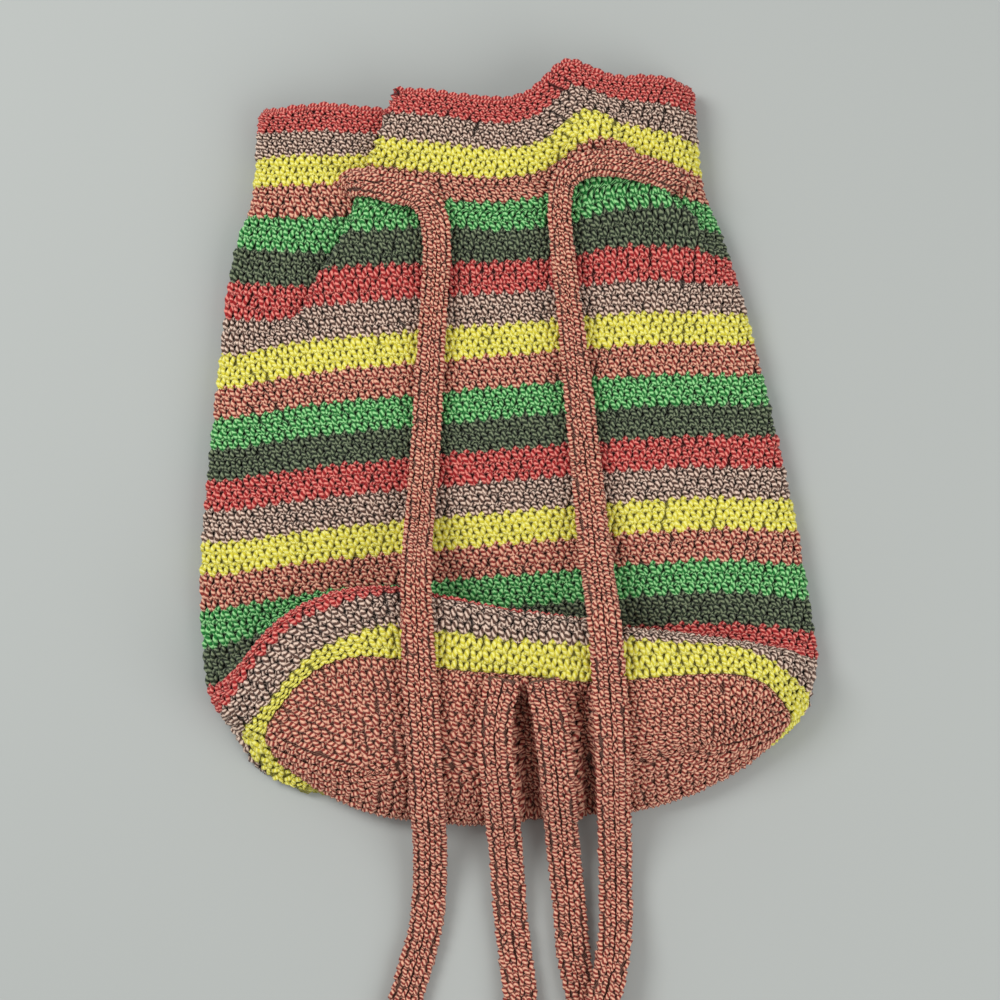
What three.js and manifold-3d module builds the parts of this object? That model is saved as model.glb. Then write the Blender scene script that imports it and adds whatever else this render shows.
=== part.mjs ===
// A crocheted drawstring backpack, empty and lying on its front with its shoulder straps up.
// The bag is one piece of single crochet: an oval base, then striped rounds up to the mouth.
// One long crocheted cord gathers the mouth through the fabric, and its two free ends are the
// shoulder straps, which loop round on the ground and are sewn to the edge of the base.
// Millimetres, +Z up, +Y towards the mouth, origin on the ground under the middle of the bag.
import * as THREE from "three";
import { mergeVertices, toCreasedNormals } from "three/addons/utils/BufferGeometryUtils.js";
import Module from "manifold-3d";

const wasm = await Module();
wasm.setup();

// Driving dimensions of the bag
const ROUND_HEIGHT = 4.55; // one round of single crochet
const ROUNDS_PER_STRIPE = 3;
const STRIPE = ROUND_HEIGHT * ROUNDS_PER_STRIPE;
const STRIPE_COUNT = 21;
const WALL = 5.5; // thickness of the crocheted fabric
const SIDE_WALL = 9; // fabric and its roll at a side fold
const SIDE_FOLD = 7; // height at which the upper and the lower panel meet
const BODY_DEPTH = 24; // height of the empty bag between its fold and its neck
const NECK_DEPTH = 30; // height of the gathered neck
const RIM_DEPTH = 41; // height of the stiff edge of the base
const FIRST_DEPTH = 45; // height of the top of the first stripe
const CREST_DEPTH = 48; // height of the roll above it, where the wall folds over
const BASE_MIDDLE = [8, -124, 21];
const BASE_HALF = 117; // half the length of its edge
const BASE_BULGE = 22; // how far the base stands out from its edge
const BASE_TUCK = 9; // and how much further where it rolls under
const UNDER_SHIFT = 24; // how far the middle of the lower panel lies towards the base
const UNDER_POWER = 4;
const SIDE_POWER = 5; // how square the panels are across

// Driving dimensions of the cord
const STRAP_WIDTH = 14.5;
const STRAP_THICKNESS = 8;
const STRAP_SIDES = 10;
const STRAP_STEPS = 2; // between two points of its route
const STRAP_CLEARANCE = 0.4; // round the cord where it passes through the fabric

// Yarns: six colours repeat from the base up, and the base and the cord are terracotta
const YARN = {
  yellow: 0xc9b83c,
  mauve: 0x8f7468,
  red: 0xa8403c,
  moss: 0x46503c,
  green: 0x3f8a4c,
  terracotta: 0xa4614e,
};
const CYCLE = [YARN.yellow, YARN.mauve, YARN.red, YARN.moss, YARN.green, YARN.terracotta];
const YARN_ROUGHNESS = 0.95;
const SMOOTH_ANGLE = 0.9;

// Grid of the shell
const UPPER_STEPS = 40;
const UNDER_STEPS = 22;
const ROWS_PER_STRIPE = 2;
const FOLD_ROWS_PER_STRIPE = 4;
const FOLD_STRIPES = 5; // the fold lies within these
const BASE_RINGS = 7;
const CAVITY_STEPS = 16;

// Stripes, counted up from the edge of the base, at which the shape of the flat bag changes
const BASE_STRIPE = -1;
const FIRST_STRIPE = 1; // the top of the first one, which runs round the edge of the base
const CORNER_STRIPE = 3; // up to here the sides take on the corners of the base
const PLATEAU_STRIPE = 7;
const GATHER_STRIPE = 12;
const NECK_STRIPE = 17.5; // the cord runs through this one

const mix = THREE.MathUtils.lerp;
const ease = THREE.MathUtils.smoothstep;

// A smooth value along a place, through [place, value] pairs: cubic Hermite with mean slopes.
function through(pairs) {
  const slope = pairs.map((_, i) => {
    const before = pairs[Math.max(i - 1, 0)];
    const after = pairs[Math.min(i + 1, pairs.length - 1)];
    return (after[1] - before[1]) / (after[0] - before[0]);
  });
  return (place) => {
    let i = 0;
    while (i < pairs.length - 2 && place > pairs[i + 1][0]) i++;
    const [start, from] = pairs[i];
    const span = pairs[i + 1][0] - start;
    const to = pairs[i + 1][1];
    const t = THREE.MathUtils.clamp((place - start) / span, 0, 1);
    const u = 1 - t;
    const ends = u * u * (1 + 2 * t) * from + t * t * (1 + 2 * u) * to;
    return ends + t * u * span * (u * slope[i] - t * slope[i + 1]);
  };
}

// Side folds of the flat bag, against the stripe
const leftX = through([
  [1, -120], [2, -129], [3, -133], [6, -132], [12.5, -117], [16, -105], [17.5, -96], [21, -90],
]);
const rightX = through([
  [1, 131], [2, 135], [3, 135], [6, 132], [12.5, 120], [16, 111], [17.5, 105], [21, 105],
]);
const leftY = through([[1, -116], [2, -106], [3, -94], [6, -44], [12.5, 45], [17.5, 114], [21, 155]]);
const rightY = through([[1, -121], [2, -105], [3, -94], [6, -48], [12.5, 44], [17.5, 105], [21, 146]]);

// Upper half of the edge of the base, against the place across from -1 (left) to 1 (right)
const rimX = through([
  [-1, -108.4], [-0.97, -107.8], [-0.93, -104.8], [-0.86, -98], [-0.78, -90.5], [-0.68, -79.5],
  [-0.55, -65], [-0.4, -48], [-0.2, -25], [0, -2], [0.3, 34], [0.6, 70], [0.8, 96], [0.9, 108],
  [0.95, 114], [0.98, 119], [1, 121.5],
]);
const rimY = through([
  [-1, -122], [-0.97, -117.5], [-0.93, -112], [-0.86, -105], [-0.78, -98], [-0.68, -91.5],
  [-0.55, -89], [-0.4, -91.5], [-0.2, -98], [0, -102], [0.3, -108.5], [0.6, -109], [0.8, -110.5],
  [0.9, -115], [0.95, -120.5], [0.98, -126.5], [1, -131],
]);
const rimRise = through([
  [-1, 0.51], [-0.97, 0.62], [-0.93, 0.73], [-0.86, 0.83], [-0.78, 0.9], [-0.68, 0.96], [-0.55, 0.99],
  [-0.4, 1], [0.5, 1], [0.8, 0.95], [0.9, 0.85], [0.95, 0.72], [0.98, 0.53], [1, 0.39],
]);

// Its lower half, the heel that the bag lies on
const heelX = through([
  [-1, -108.4], [-0.97, -105.7], [-0.93, -99.5], [-0.88, -91], [-0.8, -78], [-0.6, -55], [-0.3, -25],
  [0, 8], [0.4, 55], [0.7, 88], [0.85, 104], [0.93, 113], [0.97, 118], [1, 121.5],
]);
const heelY = through([
  [-1, -122], [-0.97, -129], [-0.93, -134.5], [-0.88, -140.5], [-0.8, -146], [-0.6, -150], [-0.3, -153],
  [0, -155], [0.4, -154], [0.7, -150], [0.85, -145], [0.93, -140], [0.97, -136], [1, -131],
]);
const heelRise = through([
  [-1, 0.51], [-0.97, 0.34], [-0.93, 0.24], [-0.88, 0.15], [-0.8, 0.06], [-0.6, 0.02], [-0.3, 0],
  [0.4, 0], [0.7, 0.03], [0.85, 0.09], [0.93, 0.17], [0.97, 0.26], [1, 0.39],
]);

// Top of the first stripe, and crest of the fold above it
const firstY = through([
  [-1, -116], [-0.9, -111], [-0.84, -104.5], [-0.71, -90], [-0.59, -83.5], [-0.43, -77.5],
  [-0.25, -81.5], [0, -88.5], [0.21, -92], [0.36, -92], [0.57, -94], [0.75, -98.5], [0.84, -104.5],
  [0.93, -113.5], [1, -121],
]);
const firstShift = through([[-1, 33], [1, 22]]); // how far its lower panel lies towards the base
const crestY = through([
  [-1, -97], [-0.87, -82.5], [-0.73, -69], [-0.58, -63], [-0.41, -62], [-0.25, -66], [0, -74.5],
  [0.22, -80.5], [0.36, -86.5], [0.57, -90], [0.74, -95], [1, -104],
]);
const crestStripe = through([
  [-1, 3], [-0.87, 2.45], [-0.73, 2.37], [-0.58, 2.3], [-0.41, 2.15], [-0.25, 2], [0, 1.95],
  [0.22, 1.85], [0.33, 1.35], [0.4, 1.2], [0.74, 1.2], [1, 2],
]);

// Waves of the rows at the neck and at the lip, against the place across
const neckWave = through([[-1, 1], [-0.7, 1], [-0.2, 3], [0.1, -1], [0.35, -1], [0.58, 3], [1, -4]]);
const lipWave = through([
  [-1, 1], [-0.72, 3], [-0.43, 0.5], [-0.38, 2.5], [-0.18, 1.8], [0, -1.8], [0.16, -2.5], [0.3, -1],
  [0.42, 2], [0.62, 2], [0.77, 2.3], [0.9, -1.5], [1, -8],
]);
const RUFFLE_LEAN = 9; // the ruffle above the cord stands up a little, so it reaches less far

// Rows of the flat part
const PLATEAU_Y = -30.6;
const ROW_SPREAD = 1.013; // they lie a little further apart than they were worked
const ROW_DROOP = 7;
const DROOP_POWER = 6;
const rowY = (stripe) => PLATEAU_Y + (stripe - PLATEAU_STRIPE) * STRIPE * ROW_SPREAD;
const stripeAt = (y) => PLATEAU_STRIPE + (y - PLATEAU_Y) / (STRIPE * ROW_SPREAD);

// The y of a stripe on the upper panel where the wall lies flat, waved where it is gathered.
function flatRowY(across, stripe) {
  const neck = ease(stripe, GATHER_STRIPE, NECK_STRIPE);
  const lip = ease(stripe, NECK_STRIPE, STRIPE_COUNT);
  const droop = ROW_DROOP * Math.abs(across) ** DROOP_POWER * (1 - neck);
  const wave = mix(neckWave(across) * neck, lipWave(across), lip);
  return rowY(stripe) - RUFFLE_LEAN * lip - droop + wave;
}

// One gather of the ruffle peaks up beside the right strap, against the stripe.
const peakX = through([[17, 56], [19, 53], [21, 48.5]]);
const peakReach = through([[16.5, 0], [17.5, 5], [18.5, 9.5], [19, 10.5], [21, 9]]);
const PEAK_WIDTH = 9.5;
const PEAK_LIFT = 0.3; // how far it rises for how far it reaches
function peakAt(x, stripe) {
  const off = (x - peakX(stripe)) / PEAK_WIDTH;
  return peakReach(stripe) * Math.exp(-(off * off) / 2);
}

// Pleats: the fabric steps up or down across a line that runs from the mouth into the panel,
// and carries its rows along with it towards the mouth or away.
const PLEATS = [
  {
    line: through([[13, -106], [14, -83], [15.4, -65], [16.9, -52.5], [18.9, -41], [21, -29.5]]),
    strength: through([[12, 0], [13.5, 0.35], [15, 0.8], [17, 1], [21, 1]]),
    step: 5,
  },
  {
    line: through([[14.5, 110], [15.2, 106], [16.2, 94], [16.7, 80], [17.4, 71], [18, 69], [21, 68]]),
    strength: through([[14.5, 0], [15.5, 0.5], [16.3, 1], [17.6, 1], [18.6, 0.35], [20, 0.1], [21, 0]]),
    step: -4,
  },
];
const PLEAT_STEEP = 3;
const PLEAT_REACH = 26;
const PLEAT_PULL = 0.8; // how far rows shift for the height of a step
function pleatStep(x, stripe) {
  return PLEATS.reduce((total, { line, strength, step }) => {
    const off = x - line(stripe);
    const profile = Math.tanh(off / PLEAT_STEEP) * Math.exp(-Math.abs(off) / PLEAT_REACH);
    return total + step * strength(stripe) * profile;
  }, 0);
}

// Height of the upper panel before its sides are rounded down.
const flatHeight = (x, stripe) =>
  mix(BODY_DEPTH, NECK_DEPTH, ease(stripe, GATHER_STRIPE, NECK_STRIPE)) + pleatStep(x, stripe);

// How much of its height a panel still has at a place across it.
const sideRound = (across) => Math.sqrt(Math.max(0, 1 - Math.abs(across) ** SIDE_POWER));
const acrossX = (across, stripe) => mix(leftX(stripe), rightX(stripe), (across + 1) / 2);
const acrossY = (across, stripe) => mix(leftY(stripe), rightY(stripe), (across + 1) / 2);

// Upper panel above the first stripe: over the crest, down the fold, and on to the mouth.
const FOOT_LEAN = 2;
const FIRST_BLEND = 40; // how late the first stripe turns to the side folds
const SIDE_BLEND = 8; // and how late the others do
function wallPoint(across, stripe) {
  const x = acrossX(across, stripe);
  const crest = crestStripe(across);
  const foot = stripeAt(crestY(across) + FOOT_LEAN);
  const peak = peakAt(x, stripe);
  let y = flatRowY(across, stripe) + PLEAT_PULL * pleatStep(x, stripe) + peak;
  let height = flatHeight(x, stripe) + PEAK_LIFT * peak;
  if (stripe < crest) {
    const climb = (stripe - FIRST_STRIPE) / (crest - FIRST_STRIPE);
    y = mix(firstY(across), crestY(across), climb);
    height = mix(FIRST_DEPTH, CREST_DEPTH, Math.sin((climb * Math.PI) / 2));
  } else if (stripe < foot) {
    const fall = (stripe - crest) / (foot - crest);
    y = mix(crestY(across), flatRowY(across, foot), fall);
    height = mix(CREST_DEPTH, flatHeight(x, foot), ease(fall, 0, 1));
  }
  const blend = mix(FIRST_BLEND, SIDE_BLEND, ease(stripe, FIRST_STRIPE, CORNER_STRIPE));
  y = mix(y, acrossY(across, stripe), Math.abs(across) ** blend);
  return [x, y, mix(SIDE_FOLD, height, sideRound(across))];
}

// The first stripe runs straight from the edge of the base to the rest of its panel.
function fromEdge(edge, panel, stripe) {
  return edge.map((value, k) => mix(value, panel[k], Math.min(stripe / FIRST_STRIPE, 1)));
}

function upperPoint(across, stripe) {
  const rim = [rimX(across), rimY(across), RIM_DEPTH * rimRise(across)];
  return fromEdge(rim, wallPoint(across, Math.max(stripe, FIRST_STRIPE)), stripe);
}

// Lower panel: flat on the ground, with its sides rolled up to the side folds. At the first stripe
// its corners are fuller.
const CORNER_POWER = 8;
const CORNER_ROUND = 0.6;
function groundPoint(across, stripe) {
  const x = acrossX(across, stripe);
  const fromSide = Math.min(x - leftX(stripe), rightX(stripe) - x);
  const rolled = Math.max(0, SIDE_FOLD - fromSide);
  const full = firstShift(across) * (1 - across ** CORNER_POWER) ** CORNER_ROUND;
  const plain = UNDER_SHIFT * (1 - across ** UNDER_POWER);
  const shift = mix(full, plain, ease(stripe, FIRST_STRIPE, CORNER_STRIPE));
  return [x, acrossY(across, stripe) - shift, SIDE_FOLD - Math.sqrt(SIDE_FOLD ** 2 - rolled ** 2)];
}

function underPoint(across, stripe) {
  const heel = [heelX(across), heelY(across), RIM_DEPTH * heelRise(across)];
  return fromEdge(heel, groundPoint(across, Math.max(stripe, FIRST_STRIPE)), stripe);
}

// A closed loop of points: one function from left to right, then another one back.
function loopOf(over, under, overSteps, underSteps) {
  const left = Array.from({ length: overSteps }, (_, i) => over(-Math.cos((Math.PI * i) / overSteps)));
  const right = Array.from({ length: underSteps }, (_, i) => under(Math.cos((Math.PI * i) / underSteps)));
  return [...left, ...right];
}

const wallRound = (stripe) =>
  loopOf((a) => upperPoint(a, stripe), (a) => underPoint(a, stripe), UPPER_STEPS, UNDER_STEPS);

// One round of the base: its edge drawn in towards the chain that it was worked round, bulging
// out and rolling under.
const CHAIN_SHARE = 0.6; // length of that chain against the base
const BULGE_RISE = 0.25;
const TUCK_FALL = 0.4;
const ROLL_SCALE = 27 / 4; // brings the largest value of the roll to 1
function baseRound(edge, share) {
  const [middleX, middleY, middleZ] = BASE_MIDDLE;
  return edge.map(([x, y, z]) => {
    const off = THREE.MathUtils.clamp((x - middleX) / BASE_HALF, -1, 1);
    const swell = BASE_BULGE * (1 - share * share) * (1 - (CHAIN_SHARE * off) ** 2);
    const low = Math.max(0, (middleZ - z) / middleZ);
    const roll = ROLL_SCALE * share * share * (1 - share) * low;
    const tuck = BASE_TUCK * roll * (1 - off ** UNDER_POWER);
    const height = mix(middleZ, z, share) + BULGE_RISE * swell - TUCK_FALL * tuck;
    const along = mix(CHAIN_SHARE, 1, share);
    return [mix(middleX, x, along), mix(middleY, y, share) - swell - tuck, Math.max(0, height)];
  });
}

const meanOf = (points) => [0, 1, 2].map((k) => points.reduce((sum, p) => sum + p[k], 0) / points.length);

// A solid from points that each carry a stripe, and the triangles between them.
const solid = (vertices, triangles) =>
  new wasm.Manifold(
    new wasm.Mesh({
      numProp: 4,
      vertProperties: new Float32Array(vertices.flat()),
      triVerts: new Uint32Array(triangles),
    }),
  );

// A closed skin over loops of equal count, [points, stripe] each. The first loop is closed straight
// across, as it is seen along Y, and the last one to a point.
function skin(loops, last) {
  const count = loops[0][0].length;
  const body = loops.flatMap(([points, stripe]) => points.map((p) => [...p, stripe]));
  const vertices = [...body, [...last, loops.at(-1)[1]]];
  const at = (loop, i) => loop * count + (i % count);
  const end = loops.length - 1;
  const seen = loops[0][0].map(([x, , z]) => new THREE.Vector2(x, z));
  const triangles = THREE.ShapeUtils.triangulateShape(seen, []).flat();
  for (let i = 0; i < count; i++) {
    triangles.push(vertices.length - 1, at(end, i), at(end, i + 1));
    for (let loop = 0; loop < end; loop++) {
      triangles.push(at(loop, i), at(loop, i + 1), at(loop + 1, i));
      triangles.push(at(loop, i + 1), at(loop + 1, i + 1), at(loop + 1, i));
    }
  }
  return solid(vertices, triangles);
}

// The bag as a full body: base rounds, then wall rounds, closed across the mouth.
function fullBag() {
  const edge = wallRound(0);
  const loops = [];
  for (let ring = 1; ring < BASE_RINGS; ring++) {
    loops.push([baseRound(edge, ring / BASE_RINGS), BASE_STRIPE]);
  }
  for (let row = 0; row < FOLD_STRIPES * FOLD_ROWS_PER_STRIPE; row++) {
    loops.push([wallRound(row / FOLD_ROWS_PER_STRIPE), row / FOLD_ROWS_PER_STRIPE]);
  }
  for (let row = FOLD_STRIPES * ROWS_PER_STRIPE; row <= STRIPE_COUNT * ROWS_PER_STRIPE; row++) {
    loops.push([wallRound(row / ROWS_PER_STRIPE), row / ROWS_PER_STRIPE]);
  }
  return skin(loops, meanOf(loops.at(-1)[0]));
}

// The hollow of the bag: rounded slices from behind the base to past the mouth.
const BASE_CEILING = 28; // height of the hollow behind the base
const HOLLOW_START = 0.2; // the stripes of its first slices, and how wide they are
const HOLLOW_START_WIDTH = 0.72;
const HOLLOW_FULL = 0.6;
const HOLLOW_FULL_WIDTH = 0.82;
const HOLLOW_STOOP = 1.6; // from here to the next its ceiling stoops under the fold
const HOLLOW_LOW = 2.4;
const HOLLOW_END = 23.5; // past the lip
function hollowSlice(stripe, width, ceiling) {
  const row = Math.min(stripe, STRIPE_COUNT);
  const inset = width * (1 - (2 * SIDE_WALL) / (rightX(row) - leftX(row)));
  const edge = (heightAt) => (across) => {
    const x = acrossX(across * inset, row);
    const axis = (WALL + ceiling(x)) / 2;
    return [x, rowY(stripe), mix(axis, heightAt(x), sideRound(across))];
  };
  return [loopOf(edge(ceiling), edge(() => WALL), CAVITY_STEPS, CAVITY_STEPS), stripe];
}

function hollow() {
  const under = (stripe) => (x) => flatHeight(x, stripe) - WALL;
  const loops = [
    hollowSlice(HOLLOW_START, HOLLOW_START_WIDTH, () => BASE_CEILING - WALL),
    hollowSlice(HOLLOW_FULL, HOLLOW_FULL_WIDTH, () => BASE_CEILING),
    hollowSlice(HOLLOW_STOOP, 1, () => BASE_CEILING),
    hollowSlice(HOLLOW_LOW, 1, under(HOLLOW_LOW)),
  ];
  for (let stripe = Math.ceil(HOLLOW_LOW); stripe <= STRIPE_COUNT; stripe++) {
    loops.push(hollowSlice(stripe, 1, under(stripe)));
  }
  loops.push(hollowSlice(HOLLOW_END, 1, under(STRIPE_COUNT)));
  return skin(loops, meanOf(loops.at(-1)[0]));
}

// Route of the cord's middle line: from one sewn end down over the base, round a loop on the
// ground, up the left shoulder, in at the left of the neck, through to its right side, down the
// right shoulder, over itself, round a second loop and up to the other sewn end.
const ROUTE = [
  [-3.5, -104, 45.7], [-9, -126, 42], [-9, -152, 28.4], [-8.5, -176, 10], [-9, -202, 4.8], [-8, -250, 4.3],
  [-14, -292, 4.3], [-37, -312, 4.3], [-60, -294, 4.3], [-62, -254, 4.3],
  [-46, -206, 4.8], [-41.5, -176, 11.5], [-40.5, -150, 29], [-39.5, -122, 40.8], [-38, -82, 49.6],
  [-36.5, -58, 54], [-33.5, -34, 38], [-29, -6, 30], [-22, 44, 29.6], [-15.5, 90, 34],
  [-16.5, 102, 35.6], [-22, 110.5, 37], [-32, 113.5, 38], [-42, 117, 38], [-50.5, 119.5, 29.5],
  [-53, 116.5, 20], [-46, 111.5, 12.6], [-30, 110, 11], [20, 108.4, 11.2], [76, 106.5, 11.4],
  [90, 106.8, 14.4], [94, 108, 20], [90, 110, 26], [81, 113, 31.8], [70, 115.3, 37.4], [60, 117, 38.2],
  [51, 116.4, 38.2], [43, 111.5, 37.2], [39.7, 102, 35.6], [39, 84, 33.6], [40, 44, 29.6],
  [41, -28, 30.2], [41.2, -58, 38],
  [41.5, -84, 53.5], [41.5, -108, 46.4], [40.8, -136, 39], [39.8, -160, 21.5], [38.6, -188, 9],
  [34, -226, 12.6], [24, -256, 13], [14, -286, 7], [18, -318, 4.3], [44, -334, 4.3], [66, -314, 4.3],
  [56, -284, 4.3], [28, -260, 4.3], [18.5, -238, 4.3],
  [17, -202, 4.8], [16.5, -176, 10.5], [16, -152, 29.4], [15.5, -128, 42.2], [13.5, -106, 46.2],
];

// The cord's curve. Its flat side turns with the route: level, or carried on where that is upright.
class CordCurve extends THREE.CatmullRomCurve3 {
  getUtoTmapping(u) {
    return u; // steps follow the chosen points, which are closer together at the bends
  }

  computeFrenetFrames(steps) {
    const up = new THREE.Vector3(0, 0, 1);
    const frames = { tangents: [], normals: [], binormals: [] };
    let width = new THREE.Vector3(1, 0, 0);
    for (let i = 0; i <= steps; i++) {
      const tangent = this.getTangentAt(i / steps);
      const level = new THREE.Vector3().crossVectors(up, tangent);
      const carried = width.clone().addScaledVector(tangent, -width.dot(tangent)).normalize();
      const hold = level.length();
      level.normalize().multiplyScalar(Math.sign(level.dot(carried)) || 1);
      width = carried.lerp(level, hold * hold).normalize();
      frames.tangents.push(tangent);
      frames.normals.push(width);
      frames.binormals.push(new THREE.Vector3().crossVectors(tangent, width));
    }
    return frames;
  }
}

// The cord as a flattened tube, larger all round by a margin.
function cordGeometry(margin) {
  const route = new CordCurve(ROUTE.map((p) => new THREE.Vector3(...p)));
  const section = new THREE.Shape();
  section.absellipse(0, 0, STRAP_WIDTH / 2 + margin, STRAP_THICKNESS / 2 + margin, 0, 2 * Math.PI);
  return new THREE.ExtrudeGeometry(section, {
    extrudePath: route,
    steps: (ROUTE.length - 1) * STRAP_STEPS,
    curveSegments: STRAP_SIDES / 2,
  });
}

// A closed geometry as a solid that carries one stripe.
function toSolid(geometry, stripe) {
  geometry.deleteAttribute("normal");
  geometry.deleteAttribute("uv");
  const merged = mergeVertices(geometry);
  const place = merged.getAttribute("position");
  const vertices = Array.from({ length: place.count }, (_, i) => [
    place.getX(i),
    place.getY(i),
    place.getZ(i),
    stripe,
  ]);
  return solid(vertices, merged.index.array);
}

// The bag: hollow, open at the mouth, let through for the cord, and coloured stripe by stripe.
function bagGeometry() {
  const passage = toSolid(cordGeometry(STRAP_CLEARANCE), NECK_STRIPE);
  const bag = fullBag().subtract(hollow()).subtract(passage);
  const { vertProperties, triVerts, numProp } = bag.getMesh();
  const place = new Float32Array(triVerts.length * 3);
  const tint = new Float32Array(triVerts.length * 3);
  for (let corner = 0; corner < triVerts.length; corner += 3) {
    const starts = [0, 1, 2].map((k) => triVerts[corner + k] * numProp);
    const stripe = starts.reduce((sum, v) => sum + vertProperties[v + 3] / 3, 0);
    const yarn = stripe < 0 ? YARN.terracotta : CYCLE[Math.floor(stripe) % CYCLE.length];
    const colour = new THREE.Color(yarn);
    starts.forEach((v, k) => {
      place.set(vertProperties.subarray(v, v + 3), (corner + k) * 3);
      colour.toArray(tint, (corner + k) * 3);
    });
  }
  const geometry = new THREE.BufferGeometry();
  geometry.setAttribute("position", new THREE.BufferAttribute(place, 3));
  geometry.setAttribute("color", new THREE.BufferAttribute(tint, 3));
  return toCreasedNormals(geometry, SMOOTH_ANGLE);
}

function namedMesh(name, geometry, look) {
  const material = new THREE.MeshStandardMaterial({ roughness: YARN_ROUGHNESS, metalness: 0, ...look });
  const mesh = new THREE.Mesh(geometry, material);
  mesh.name = name;
  return mesh;
}

const backpack = new THREE.Group();
backpack.add(namedMesh("bag_body", bagGeometry(), { vertexColors: true }));
backpack.add(namedMesh("drawstring", cordGeometry(0), { color: YARN.terracotta }));

export default backpack;
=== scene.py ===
"""Crocheted drawstring backpack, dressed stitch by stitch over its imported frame.

The cloth of the bag is worked out as a grid of points, one row a round of crochet and one column
a part of a stitch. Small yarn stitches are then carried onto that grid, stripe by stripe, onto
the oval base, and along the flattened cord that is both drawstring and shoulder straps.
Sizes are in millimetres inside the classes, and meshes are made in metres.
"""
import logging
import math
from dataclasses import dataclass, field
from enum import Enum
from typing import Sequence

import bpy
import numpy as np
from mathutils import Matrix, Vector


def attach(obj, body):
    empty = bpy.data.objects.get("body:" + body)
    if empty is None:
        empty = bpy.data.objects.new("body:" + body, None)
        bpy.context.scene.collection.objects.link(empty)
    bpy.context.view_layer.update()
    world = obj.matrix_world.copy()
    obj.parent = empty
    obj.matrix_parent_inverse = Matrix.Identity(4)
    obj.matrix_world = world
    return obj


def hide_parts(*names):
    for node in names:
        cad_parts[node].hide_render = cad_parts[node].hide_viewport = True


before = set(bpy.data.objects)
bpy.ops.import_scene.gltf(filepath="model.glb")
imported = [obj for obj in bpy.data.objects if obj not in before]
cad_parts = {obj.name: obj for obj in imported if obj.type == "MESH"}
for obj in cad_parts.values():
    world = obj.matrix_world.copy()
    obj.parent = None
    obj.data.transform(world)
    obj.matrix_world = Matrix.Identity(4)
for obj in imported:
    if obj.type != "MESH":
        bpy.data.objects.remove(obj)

logging.basicConfig(level=logging.INFO, format="%(message)s")
log = logging.getLogger("backpack")

Array = np.ndarray
Operand = bpy.types.NodeSocket | Sequence[float] | float
METRE = 0.001  # metres in a millimetre
TINY = 1e-12
BELL_REACH = 3  # spreads after which a bell is cut off
ROOT = "root"
STRAND_UV = "strand"  # UV map along and round the strands
RISE = "rise"  # attribute that says how far a point stands out of the cloth; the yarn's shader paints shade where it is low
# rise of backings and of the cord's core, where the painted shade is darkest
DARKEST_SHADE_RISE = -1.0
BACKING_UV = 2.0  # UV from point to point of a backing

ROUND_HEIGHT = 4.55  # of one round of crochet, in millimetres
ROUNDS_PER_STRIPE = 3


# Small helpers


def mix(a: Array, b: Array, t: Array) -> Array:
    """Straight blend from a to b."""
    return a + (b - a) * t


def ease(value: Array, start: float, end: float) -> Array:
    """Smooth step: 0 before start, 1 after end, with level ends."""
    t = np.clip((value - start) / (end - start), 0.0, 1.0)
    return t * t * (3.0 - 2.0 * t)


def bell(off: Array, spread: float) -> Array:
    """Bell curve: 1 at no distance, falling with its square over the spread."""
    return np.exp(-0.5 * (off / spread) ** 2)


def unit(v: Array) -> Array:
    """Vectors along the last axis, made one long."""
    return v / np.maximum(np.linalg.norm(v, axis=-1, keepdims=True), TINY)


def cubic(t: Array, start: Array, end: Array, leaving: Array, arriving: Array) -> Array:
    """Cubic from one value to the next with the given slopes at the two.

    Args:
        t: place between the two, from 0 to 1.
        start: value at 0.
        end: value at 1.
        leaving: slope at 0.
        arriving: slope at 1.

    Returns:
        Values at t.
    """
    u = 1.0 - t
    ends = u * u * (1 + 2 * t) * start + t * t * (1 + 2 * u) * end
    return ends + t * u * (u * leaving - t * arriving)


class Guide:
    """A smooth value along a place: cubics from pair to pair, with mean slopes at the pairs."""

    def __init__(self, *pairs: tuple[float, float]) -> None:
        """Keep the pairs.

        Args:
            pairs: (place, value) in rising order of place.
        """
        self.place, self.value = np.array(pairs, dtype=float).T
        count = len(pairs)
        before = np.maximum(np.arange(count) - 1, 0)
        after = np.minimum(np.arange(count) + 1, count - 1)
        rise = self.value[after] - self.value[before]
        self.slope = rise / (self.place[after] - self.place[before])

    def __call__(self, place: Array) -> Array:
        """The value at places.

        Args:
            place: where to read it; past the ends the end value holds.

        Returns:
            Values in the shape of place.
        """
        place = np.asarray(place, dtype=float)
        i = np.clip(np.searchsorted(self.place, place, side="left") - 1, 0, len(self.place) - 2)
        span = self.place[i + 1] - self.place[i]
        t = np.clip((place - self.place[i]) / span, 0.0, 1.0)
        slopes = (span * self.slope[i], span * self.slope[i + 1])
        return cubic(t, self.value[i], self.value[i + 1], *slopes)


# Yarns and their finish


class Yarn(Enum):
    """The six yarns of the bag."""

    YELLOW = "yellow"
    MAUVE = "mauve"
    RED = "red"
    MOSS = "moss"
    GREEN = "green"
    TERRACOTTA = "terracotta"


CYCLE = (Yarn.YELLOW, Yarn.MAUVE, Yarn.RED, Yarn.MOSS, Yarn.GREEN, Yarn.TERRACOTTA)


def linear(rgb: Sequence[int]) -> tuple[float, float, float, float]:
    """Screen colour as the linear one that a shader takes, by the usual screen curve.

    Args:
        rgb: red, green and blue, from 0 to 255.

    Returns:
        Linear red, green and blue, and full cover.
    """
    c = np.array(rgb) / 255.0
    lin = np.where(c <= 0.04045, c / 12.92, ((c + 0.055) / 1.055) ** 2.4)
    return (*lin.tolist(), 1.0)


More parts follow.
